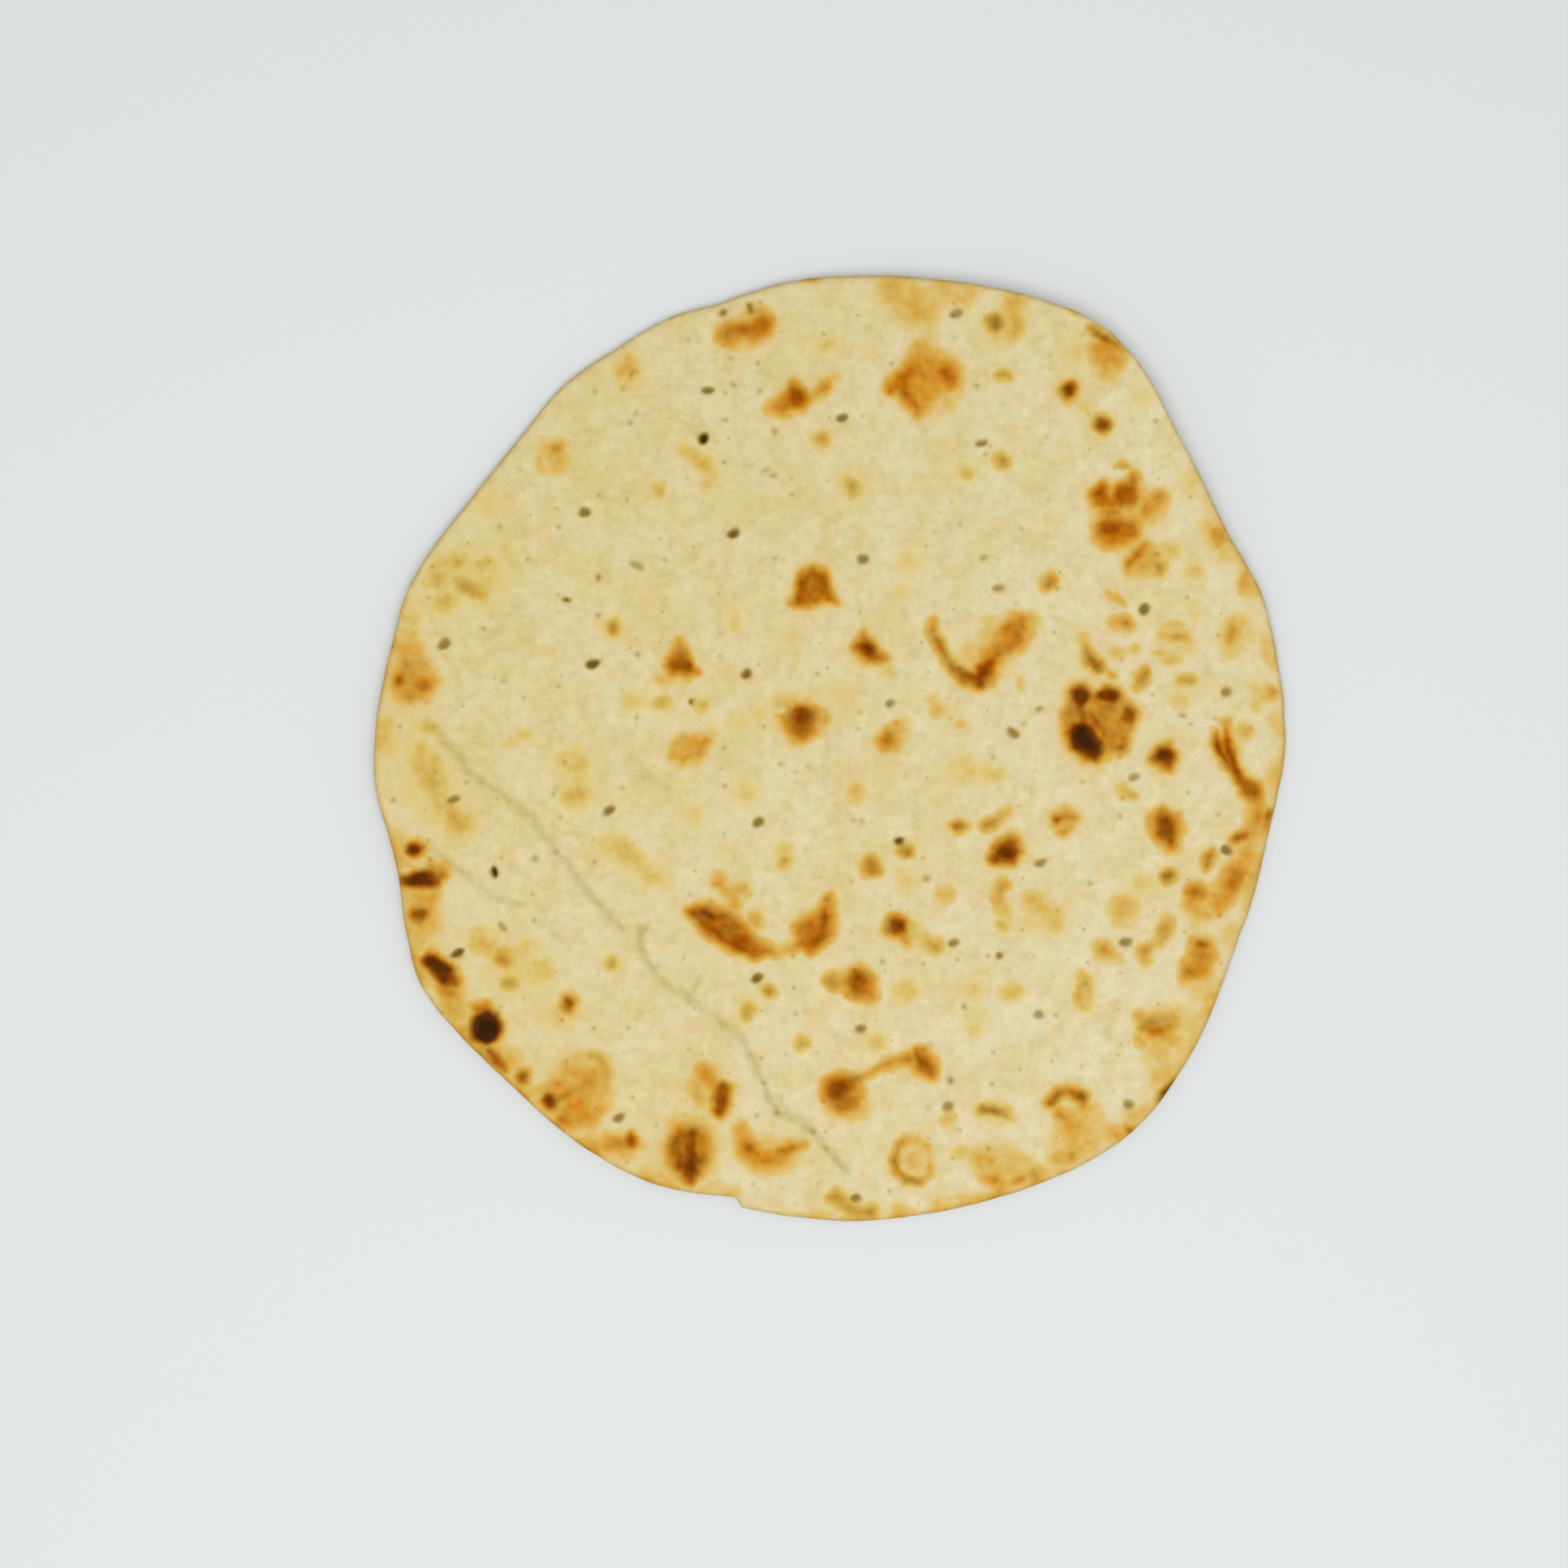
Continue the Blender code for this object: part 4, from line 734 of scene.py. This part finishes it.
def distance_to_corners(x, y, corners):
    """Signed distance to a polygon: below 0 inside it."""
    best = np.full(x.shape, np.inf)
    inside = np.zeros(x.shape, bool)
    for (ax, ay), (bx, by) in zip(corners, corners[1:] + corners[:1]):
        dx = bx - ax
        dy = by - ay
        t = np.clip(((x - ax) * dx + (y - ay) * dy) / (dx * dx + dy * dy), 0, 1)
        best = np.minimum(best, np.hypot(x - ax - t * dx, y - ay - t * dy))
        if dy:
            crosses = ((ay > y) != (by > y)) & (x < dx * (y - ay) / dy + ax)
            inside ^= crosses
    return np.where(inside, -best, best)


def strayed(x, y):
    """The same places, each moved a little, so that no mark keeps a drawn edge."""
    moved_x = x
    moved_y = y
    for i, (span, distance) in enumerate(STRAY):
        moved_x = moved_x + distance * wander(x, y, span, SEED + i)
        moved_y = moved_y + distance * wander(x, y, span, SEED + len(STRAY) + i)
    return moved_x, moved_y


def scorch(x, y):
    """(heat, warmth) of the baked face, as the marks give them."""
    moved_x, moved_y = strayed(x, y)
    total = np.zeros(x.shape)
    warmth = np.zeros(x.shape)
    weight = np.full(x.shape, 1e-6)
    for kind, shape, tone, soft, warm in MARKS:
        corners = np.array([part[:2] for part in shape])
        reach = soft + HALO_SPAN * 2 + (max(max(part[2:4]) for part in shape) if kind != "patch" else 0)
        near = (np.abs(x - corners[:, 0].mean()) < np.ptp(corners[:, 0]) / 2 + reach + 3) & (
            np.abs(y - corners[:, 1].mean()) < np.ptp(corners[:, 1]) / 2 + reach + 3
        )
        if not near.any():
            continue
        if kind == "stroke":
            away, tone = distance_to_chain(moved_x[near], moved_y[near], shape)
        elif kind == "dab":
            away = distance_to_oval(moved_x[near], moved_y[near], *shape[0])
        else:
            away = distance_to_corners(moved_x[near], moved_y[near], shape)
        fall = soft * (FALL - FALL_BY_TONE * tone)
        heat = tone * smooth(EDGE_AT - away / fall)
        halo = HALO * np.maximum(tone - HALO_FROM, 0) / (1 - HALO_FROM)
        heat = np.maximum(heat, halo * np.exp(-((np.maximum(away, 0) / HALO_SPAN) ** 2)))
        total[near] += heat**BLEND_POWER
        warmth[near] += warm * heat**2
        weight[near] += heat**2
    return np.minimum(total ** (1 / BLEND_POWER), 1.0), (warmth + 0.5e-6) / weight


def edge_scorch(place):
    """Toasting of the dough just inside the edge."""
    bearings, reaches, tones = np.array(EDGE_TONES + ((360, *EDGE_TONES[0][1:]),)).T
    reach, tone = (
        np.interp(place.bearing, bearings, values)
        * (1 + amount * wander(place.x, place.y, span, SEED + seed))
        for values, (span, amount, seed) in zip((reaches, tones), EDGE_UNEVENNESS)
    )
    return tone * smooth(EDGE_FADE - place.inset / reach)


def soot_and_hole_shade(x, y):
    """Darkening of holes, by soot and painted shade, and of specks, by soot."""
    x, y = strayed(x, y)
    holes = [(*mouth, soot_and_shade) for *mouth, _, soot_and_shade in HOLES]
    specks = [(*middle, wide, high, 0, soot_and_shade) for *middle, wide, high, soot_and_shade in SPECKS]
    return np.maximum(ovals(x, y, holes, HOLE_SOOT_AND_SHADE_MARGIN), ovals(x, y, specks, SPECK_MARGIN))


def crease_strength(x, y):
    """(depth, darkness of the painted shade) of the creases here."""
    moved_x = x + CREASE_WANDER * wander(x, y, 4.5, SEED + 6)
    moved_y = y + CREASE_WANDER * wander(x, y, 4.5, SEED + 7)
    depth = np.zeros(x.shape)
    dark = np.zeros(x.shape)
    for deep, darkness, *line in CREASES:
        away, _ = distance_to_chain(moved_x, moved_y, [(px, py, 0.0, 0.0) for px, py in line])
        groove = smooth(1 - away / CREASE_HALF_WIDTH)
        depth = np.maximum(depth, deep * groove)
        dark = np.maximum(dark, darkness * groove)
    return depth, dark


# ---------------- relief
def hole_depth(x, y):
    return ovals(x, y, [(*mouth, deep) for *mouth, deep, _ in HOLES], HOLE_MARGIN)


def relief(place, heat):
    """Blisters up, creases down and the fine unevenness of the baked face."""
    height = SCORCH_RISE * smooth(heat / FULLY_RISEN)
    for x, y, radius, rise in BLISTERS:
        away = np.hypot(place.x - x, place.y - y) / radius
        height += rise * np.where(away < 1, (1 - away**2) ** 2, 0)
    for i, (span, rise) in enumerate(RIPPLES):
        height += rise * wander(place.x, place.y, span, SEED + 10 + i)
    return height - crease_strength(place.x, place.y)[0]


# ---------------- the mesh
def lattice(steps):
    """A triangular lattice inside the rings of the edge, taking every point or every second, and so on."""
    a = FINE
    b = FINE * math.sqrt(3) / 2
    reach = int(LATTICE_REACH * RADIUS / b)
    reach += -reach % 8
    rows = np.arange(-reach, reach + 1)
    columns = np.arange(-2 * reach, 2 * reach + 1)
    row, column = np.meshgrid(rows, columns, indexing="ij")
    keep = (row % steps == 0) & (column % steps == 0)
    row = row[keep]
    column = column[keep]
    points = np.stack([(column + 0.5 * row) * a, row * b], 1)
    place = Place(points)
    inside = place.inset > LIP + 0.45 * steps * FINE
    return points[inside], ((row % COARSE_STEPS == 0) & (column % COARSE_STEPS == 0))[inside]


def in_detail(points):
    """Where the scorch's tone changes fast, and round holes, specks and creases."""
    x = points[:, 0]
    y = points[:, 1]
    heat, _ = scorch(x, y)
    to_right, _ = scorch(x + DETAIL_SPAN, y)
    to_far, _ = scorch(x, y + DETAIL_SPAN)
    steep = np.hypot(to_right - heat, to_far - heat) > DETAIL_STEP
    dark = (heat > DETAIL_HEAT) | (soot_and_hole_shade(x, y) > DETAIL_SOOT_AND_SHADE)
    return steep | dark | (crease_strength(x, y)[1] > DETAIL_CREASE)


def hole_points():
    points = []
    for x, y, length, width, turn, _, _ in HOLES:
        points.append((x, y))
        cosine = math.cos(math.radians(turn))
        sine = math.sin(math.radians(turn))
        for share, count in HOLE_RINGS:
            for i in range(count):
                angle = 2 * math.pi * (i + 0.5 * (count % 4)) / count
                u = share * length / 2 * math.cos(angle)
                v = share * width / 2 * math.sin(angle)
                points.append((x + u * cosine - v * sine, y + u * sine + v * cosine))
    return np.array(points)


def off_holes(points):
    clear = np.ones(len(points), bool)
    for x, y, length, width, turn, _, _ in HOLES:
        near = beside(points[:, 0], points[:, 1], x, y, 6)
        away = distance_to_oval(points[near, 0], points[near, 1], x, y, length / 2, width / 2, turn)
        clear[near] &= away > CLEAR_OF_HOLE
    return clear


def triangulated(insets, loose):
    """(points, triangles) inside the rings of the edge, with the outline's points first."""
    rings = [rim_ring(inset) - MIDDLE for inset in insets]
    count = len(rings[0])
    edges = []
    for ring in range(len(rings)):
        first = ring * count
        edges += [(first + i, first + (i + 1) % count) for i in range(count)]
    points = [Vector(point) for point in np.concatenate(rings + [loose]).tolist()]
    flat, _, faces, origins, _, _ = delaunay_2d_cdt(points, edges, [], 1, NEAR)
    order = [origin[0] if origin else -1 for origin in origins]
    return np.array([(point.x, point.y) for point in flat]), [tuple(face) for face in faces], order


def baked_points():
    """Fine where there is detail and coarse elsewhere."""
    points, coarse = lattice(1)
    keep = coarse.copy()
    keep[~coarse] = in_detail(points[~coarse])
    keep &= off_holes(points)
    points = points[keep]
    rng = np.random.RandomState(SEED)
    points = points + rng.uniform(-JITTER, JITTER, points.shape)
    return np.concatenate([points, hole_points()])


def bread_mesh():
    """Both faces, sharing the points of the outline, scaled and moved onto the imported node's box."""
    top, top_faces, top_order = triangulated(TOP_INSETS, baked_points())
    under, under_faces, under_order = triangulated(UNDER_INSETS, lattice(UNDER_STEPS)[0])
    rim_count = len(RIM)
    top_at = {origin: i for i, origin in enumerate(top_order) if 0 <= origin < rim_count}
    places = []
    extra = []
    for i, origin in enumerate(under_order):
        if origin in top_at:
            places.append(top_at[origin])
        else:
            places.append(len(top) + len(extra))
            extra.append(i)
    faces = top_faces + [tuple(places[corner] for corner in reversed(face)) for face in under_faces]

    place = Place(top)
    half = thickness(place) / 2
    full = fullness(place)
    heat, warmth = scorch(place.x, place.y)
    edge = edge_scorch(place)
    warmth = np.where(edge > heat, 0.5, warmth)
    heat = np.maximum(heat, edge)
    # soot of holes and specks, with shade painted into the holes
    soot_and_shade = soot_and_hole_shade(place.x, place.y)
    top_z = lift(place) + half + (half + relief(place, heat)) * full - hole_depth(place.x, place.y)

    below = Place(under[extra])
    under_z = lift(below) + thickness(below) / 2 * (1 - fullness(below))

    xy = np.concatenate([top, under[extra]])
    z = np.concatenate([top_z, under_z])
    bearing = np.concatenate([place.bearing, below.bearing])
    inset = np.concatenate([place.inset, below.inset])
    round_edge = bearing * math.radians(1) * RADIUS
    outwards = EDGE_UNEVEN * wander(round_edge, 0 * bearing, EDGE_UNEVEN_SPAN, SEED + 8)
    outwards *= smooth(1 - inset / EDGE_UNEVEN_REACH)
    turn = np.radians(bearing)
    xy = xy + (outwards * np.stack([np.cos(turn), np.sin(turn)])).T

    low, high = (np.array(corner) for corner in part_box("bread"))
    placed = np.empty((len(xy), 3))
    placed[:, :2] = xy * ((high - low)[:2] / REFERENCE_SIZE) + (low + high)[:2] / 2
    placed[:, 2] = z * MM + low[2]

    mesh = bpy.data.meshes.new("bread_crust")
    mesh.from_pydata(placed.tolist(), [], faces)
    mesh.shade_smooth()
    blank = np.zeros(len(extra))
    # darkness of the shade painted along the creases
    creased = crease_strength(place.x, place.y)[1]
    near_edge = smooth(0.5 - place.inset / 0.8) * 0.5
    past_edge = smooth(below.inset / 1.2) * 0.5 + 0.5
    attributes = {
        "toast": np.concatenate([heat, blank]),
        "warmth": np.concatenate([warmth, blank + 0.5]),
        "soot_and_hole_shade": np.concatenate([soot_and_shade, blank]),
        "crease": np.concatenate([creased, blank]),
        "under": np.concatenate([near_edge, past_edge]),
        # painted shade round the lip, on both faces
        "lip": smooth(1 - inset / LIP_SHADE),
        "right": xy[:, 0] / 100,
        "near": -xy[:, 1] / 100,
    }
    for name, values in attributes.items():
        layer = mesh.attributes.new(name, "FLOAT", "POINT")
        layer.data.foreach_set("value", np.asarray(values, np.float32))
    return mesh


# ---------------- the crust's material
def linear(seen):
    """A colour as seen, 0 to 255, as the linear values that Blender takes."""
    shares = [channel / 255 for channel in seen]
    return [s / 12.92 if s <= 0.04045 else ((s + 0.055) / 1.055) ** 2.4 for s in shares]


class Nodes:
    """Adds shader nodes to a material: each method returns the new node's output."""

    def __init__(self, material):
        self.tree = material.node_tree
        self.place = self.tree.nodes.new("ShaderNodeTexCoord").outputs["Object"]

    def put(self, socket, value):
        if isinstance(value, bpy.types.NodeSocket):
            self.tree.links.new(value, socket)
        elif isinstance(value, (tuple, list)) and len(value) == 3 and socket.type == "RGBA":
            socket.default_value = (*value, 1.0)
        else:
            socket.default_value = value

    def attribute(self, name):
        node = self.tree.nodes.new("ShaderNodeAttribute")
        node.attribute_name = name
        return node.outputs["Fac"]

    def math(self, operation, first, second=0.0, third=0.0):
        node = self.tree.nodes.new("ShaderNodeMath")
        node.operation = operation
        for socket, value in zip(node.inputs, (first, second, third)):
            self.put(socket, value)
        return node.outputs[0]

    def clamped(self, value, low, high, to_low=0.0, to_high=1.0):
        """value as it goes from low to high, eased, from to_low to to_high."""
        node = self.tree.nodes.new("ShaderNodeMapRange")
        node.interpolation_type = "SMOOTHSTEP"
        for socket, setting in zip(node.inputs, (value, low, high, to_low, to_high)):
            self.put(socket, setting)
        return node.outputs[0]

    def noise(self, span, detail=2.0, roughness=0.5):
        """Noise about 0.5 that changes over span millimetres."""
        node = self.tree.nodes.new("ShaderNodeTexNoise")
        self.put(node.inputs["Vector"], self.place)
        node.inputs["Scale"].default_value = 1 / (span * MM)
        node.inputs["Detail"].default_value = detail
        node.inputs["Roughness"].default_value = roughness
        return node.outputs["Fac"]

    def wobble(self, span, amount, detail=2.0, roughness=0.5):
        """Noise about 0, from -amount to amount at most."""
        return self.math("MULTIPLY_ADD", self.noise(span, detail, roughness), 2 * amount, -amount)

    def specks(self, spacing, size, share):
        """Round specks, 1 in the middle of each; share says how many of the cells have one."""
        node = self.tree.nodes.new("ShaderNodeTexVoronoi")
        node.voronoi_dimensions = "2D"
        self.put(node.inputs["Vector"], self.place)
        node.inputs["Scale"].default_value = 1 / (spacing * MM)
        spread = self.tree.nodes.new("ShaderNodeSeparateColor")
        self.put(spread.inputs[0], node.outputs["Color"])
        share_size = size / spacing
        radius = self.math("MULTIPLY_ADD", spread.outputs["Green"], 0.7 * share_size, 0.5 * share_size)
        away = self.math("DIVIDE", node.outputs["Distance"], radius)
        dot = self.clamped(away, 1.3, 0.3)
        present = self.clamped(spread.outputs["Red"], 1 - share, 1 - 0.3 * share)
        return self.math("MULTIPLY", dot, present)

    def field(self, noise, turn):
        """Noise (span, detail, roughness) as it goes from and to these values, eased, from and to those."""
        return self.clamped(self.noise(*noise), *turn)

    def mix(self, factor, first, second, blend="MIX"):
        node = self.tree.nodes.new("ShaderNodeMix")
        node.data_type = "RGBA"
        node.blend_type = blend
        self.put(node.inputs["Factor"], factor)
        self.put(node.inputs["A"], first)
        self.put(node.inputs["B"], second)
        return node.outputs["Result"]

    def times(self, first, second):
        return self.mix(1.0, first, second, "MULTIPLY")

    def colour(self, channels):
        node = self.tree.nodes.new("ShaderNodeCombineColor")
        for socket, channel in zip(node.inputs, channels):
            self.put(socket, channel)
        return node.outputs[0]

    def ramp(self, factor, stops):
        node = self.tree.nodes.new("ShaderNodeValToRGB")
        elements = node.color_ramp.elements
        while len(elements) < len(stops):
            elements.new(1.0)
        for element, (position, colour) in zip(elements, stops):
            element.position = position
            element.color = (*colour, 1.0)
        self.put(node.inputs["Fac"], factor)
        return node.outputs["Color"]


def shifted(stops, shift, faint=(0, 0, 0)):
    """The stops as linear values, moved by shift, and by faint where there is little heat."""
    moved = []
    for position, colour in stops:
        held = min(1.0, 2 * position, 1.5 - position)
        early = max(0.0, 1 - position / 0.45)
        values = [c + held * s + early * f for c, s, f in zip(colour, shift, faint)]
        moved.append((position, linear([min(255, max(0, value)) for value in values])))
    return moved


# Mottling of the bare dough: span, where the noise turns, and what the two sides leave of each colour.
MOTTLES = (
    (10.0, 0.36, 0.66, (1.015, 1.025, 1.10), (0.98, 0.965, 0.87)),
    (5.0, 0.42, 0.66, (1.005, 1.018, 1.015), (1.0, 0.95, 0.925)),
    (3.0, 0.46, 0.66, (1.005, 1.01, 1.02), (0.965, 0.97, 0.90)),
)
FINE_SPECKS = ((8.5, 0.8, 0.6, 0.24), (4.1, 0.5, 0.6, 0.10))  # spacing, size, share of cells, strength
GRAIN = (2.2, 0.15, 3.0, 0.6)  # a wobble: span, amount, detail, roughness
SCREEN_GAMMA = 2.2

# Noise (span, detail, roughness), and the values that it goes from and to, and gives there.
UNDER_TOASTING = ((15.0, 4.0, 0.55), (0.50, 0.74, 0.0, 0.72))
UNDER_SPOTS = ((6.0, 3.0, 0.6), (0.58, 0.74, 0.0, 0.5))
FAINT_TOASTING = ((11.0, 3.0, 0.6), (0.54, 0.80, 0.0, 0.12))
PATCHY = ((3.0, 2.0, 0.6), (0.3, 0.6, 0.55, 1.0))  # how the painted shade of the creases and the lip comes and goes

HEAT_WOBBLES = ((4.2, 0.9, 1.0, 0.5), (1.8, 0.4, 1.0, 0.5))
HEAT_WOBBLES_FROM = (0.0, 0.25, 0.0, 0.22)  # bare dough has none of the wobble
HEAT_WOBBLES_TO = (1.0, 0.6, 0.25, 1.0)  # and black places have little
WARMTH_WOBBLE = (4.0, 0.8, 2.0, 0.5)
FAINT_IS_WARMER = (0.5, 0.15, 0.0, 0.2)
ROUGHNESS = 0.84
ROUGHNESS_WOBBLE = (3.0, 0.12, 3.0, 0.6)
SHINE = 0.04
BUMP_STRENGTH = 0.35
BUMP_HEIGHT = 0.25 * MM
BUMP_NOISE = (1.1, 4.0, 0.65)


def crust_material():
    material = bpy.data.materials.new("baked_crust")
    material.use_nodes = True
    n = Nodes(material)
    shader = material.node_tree.nodes["Principled BSDF"]

    # bare dough: a cream that goes a little paler towards the near right, finely mottled
    right = n.attribute("right")
    near = n.attribute("near")
    channels = []
    for base, per_right, per_near in zip(DOUGH, DOUGH_PER_RIGHT, DOUGH_PER_NEAR):
        level = n.math("MULTIPLY_ADD", right, per_right / 255, base / 255)
        level = n.math("MULTIPLY_ADD", near, per_near / 255, level)
        channels.append(n.math("POWER", level, SCREEN_GAMMA))
    dough = n.colour(channels)
    for span, low, high, pale, rich in MOTTLES:
        share = n.field((span, 3.0, 0.55), (low, high))
        dough = n.mix(share, n.times(dough, pale), n.times(dough, rich))
    grain = n.math("ADD", n.wobble(*GRAIN), 1.0)
    dough = n.times(dough, n.colour([grain] * 3))

    # scorch: olive to orange by warmth, through gold and brown to black by heat
    under = n.attribute("under")
    heat = n.attribute("toast")
    browned = n.math("MAXIMUM", n.field(*UNDER_TOASTING), n.field(*UNDER_SPOTS))
    heat = n.math("MAXIMUM", heat, n.math("MULTIPLY", n.clamped(under, 0.55, 0.95), browned))
    unevenness = n.math("ADD", *(n.wobble(*wobble) for wobble in HEAT_WOBBLES))
    held = n.math("MULTIPLY", n.clamped(heat, *HEAT_WOBBLES_FROM), n.clamped(heat, *HEAT_WOBBLES_TO))
    heat = n.math("MULTIPLY_ADD", unevenness, held, heat)
    heat = n.math("MAXIMUM", heat, n.field(*FAINT_TOASTING))
    warmth = n.math("ADD", n.attribute("warmth"), n.wobble(*WARMTH_WOBBLE))
    warmth = n.math("ADD", warmth, n.clamped(heat, *FAINT_IS_WARMER))
    olive = n.ramp(heat, shifted(TOASTED, [-c for c in WARMER], YELLOWER))
    orange = n.ramp(heat, shifted(TOASTED, WARMER))
    scorched = n.mix(n.clamped(warmth, 0.0, 1.0), olive, orange)
    crust = n.mix(n.clamped(heat, 0.0, 0.14), dough, scorched)

    # creases and the lip with painted shade, the holes with soot and painted shade, and fine specks with
    # soot
    patchy = n.field(*PATCHY)
    for name, shade in (("crease", CREASED), ("lip", AT_THE_LIP)):
        crust = n.mix(n.math("MULTIPLY", n.attribute(name), patchy), crust, n.times(crust, shade))
    dark = n.attribute("soot_and_hole_shade")
    for spacing, size, share, strength in FINE_SPECKS:
        dark = n.math("MAXIMUM", dark, n.math("MULTIPLY", n.specks(spacing, size, share), strength))
    crust = n.times(crust, n.ramp(dark, SOOT_AND_SHADE))
    n.put(shader.inputs["Base Color"], crust)

    n.put(shader.inputs["Roughness"], n.math("ADD", ROUGHNESS, n.wobble(*ROUGHNESS_WOBBLE)))
    shader.inputs["Specular IOR Level"].default_value = SHINE

    bump = n.tree.nodes.new("ShaderNodeBump")
    bump.inputs["Strength"].default_value = BUMP_STRENGTH
    bump.inputs["Distance"].default_value = BUMP_HEIGHT
    n.put(bump.inputs["Height"], n.math("ADD", n.noise(*BUMP_NOISE), n.math("MULTIPLY", dark, -0.5)))
    n.put(shader.inputs["Normal"], bump.outputs["Normal"])
    return material


def plain_material(name, seen, roughness):
    material = bpy.data.materials.new(name)
    material.use_nodes = True
    shader = material.node_tree.nodes["Principled BSDF"]
    shader.inputs["Base Color"].default_value = (*linear(seen), 1.0)
    shader.inputs["Roughness"].default_value = roughness
    shader.inputs["Specular IOR Level"].default_value = 0.2
    return material


# ---------------- the stage
FLOOR = (229, 233, 234)
FLOOR_HALF = 3.0
FLOOR_GAP = 0.3 * MM
WORLD_STRENGTH = 0.55
WORLD_COLOUR = (1.0, 1.0, 1.0)
LAMP_SIZE = 1.3
LAMP_HEIGHT = 1.25
LAMP_OFF = (0.0, -0.35)
LAMP_POWER = 9.0
LENS = 60.0
SENSOR = 36.0
FIELD_SHARE = 1.7264  # the view's width, as a share of the bread's
AIM_SHARE = (-0.05090, -0.03700)  # the view's middle from the bread's, as shares of its sides


def add_floor():
    mesh = bpy.data.meshes.new("floor")
    s = FLOOR_HALF
    z = -FLOOR_GAP
    mesh.from_pydata([(-s, -s, z), (s, -s, z), (s, s, z), (-s, s, z)], [], [(0, 1, 2, 3)])
    mesh.materials.append(plain_material("floor", FLOOR, 0.9))
    floor = bpy.data.objects.new("floor", mesh)
    bpy.context.scene.collection.objects.link(floor)


def add_light():
    world = bpy.data.worlds.new("studio")
    world.use_nodes = True
    background = world.node_tree.nodes["Background"]
    background.inputs["Color"].default_value = (*WORLD_COLOUR, 1.0)
    background.inputs["Strength"].default_value = WORLD_STRENGTH
    bpy.context.scene.world = world
    lamp = bpy.data.lights.new("softbox", "AREA")
    lamp.shape = "DISK"
    lamp.size = LAMP_SIZE
    lamp.energy = LAMP_POWER
    softbox = bpy.data.objects.new("softbox", lamp)
    softbox.location = (LAMP_OFF[0], LAMP_OFF[1], LAMP_HEIGHT)
    softbox.rotation_mode = "QUATERNION"
    softbox.rotation_quaternion = softbox.location.to_track_quat("Z", "Y")
    bpy.context.scene.collection.objects.link(softbox)


def add_camera():
    """Straight above the bread, with its far edge at the top of the view."""
    low, high = (Vector(corner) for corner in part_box("bread"))
    size = high - low
    middle = (low + high) / 2
    data = bpy.data.cameras.new("camera")
    data.sensor_width = SENSOR
    data.lens = LENS
    camera = bpy.data.objects.new("camera", data)
    away = FIELD_SHARE * size.x * LENS / SENSOR
    camera.location = (
        middle.x + AIM_SHARE[0] * size.x,
        middle.y + AIM_SHARE[1] * size.y,
        low.z + THICKNESS * MM + away,
    )
    data.clip_start = 0.01
    data.clip_end = 20.0
    bpy.context.scene.collection.objects.link(camera)
    bpy.context.scene.camera = camera


def main():
    mesh = bread_mesh()
    mesh.materials.append(crust_material())
    bread = bpy.data.objects.new("baked_bread", mesh)
    bpy.context.scene.collection.objects.link(bread)
    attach(bread, "root")
    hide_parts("bread")
    add_floor()
    add_light()
    add_camera()
    bpy.context.scene.view_settings.view_transform = "Standard"


main()
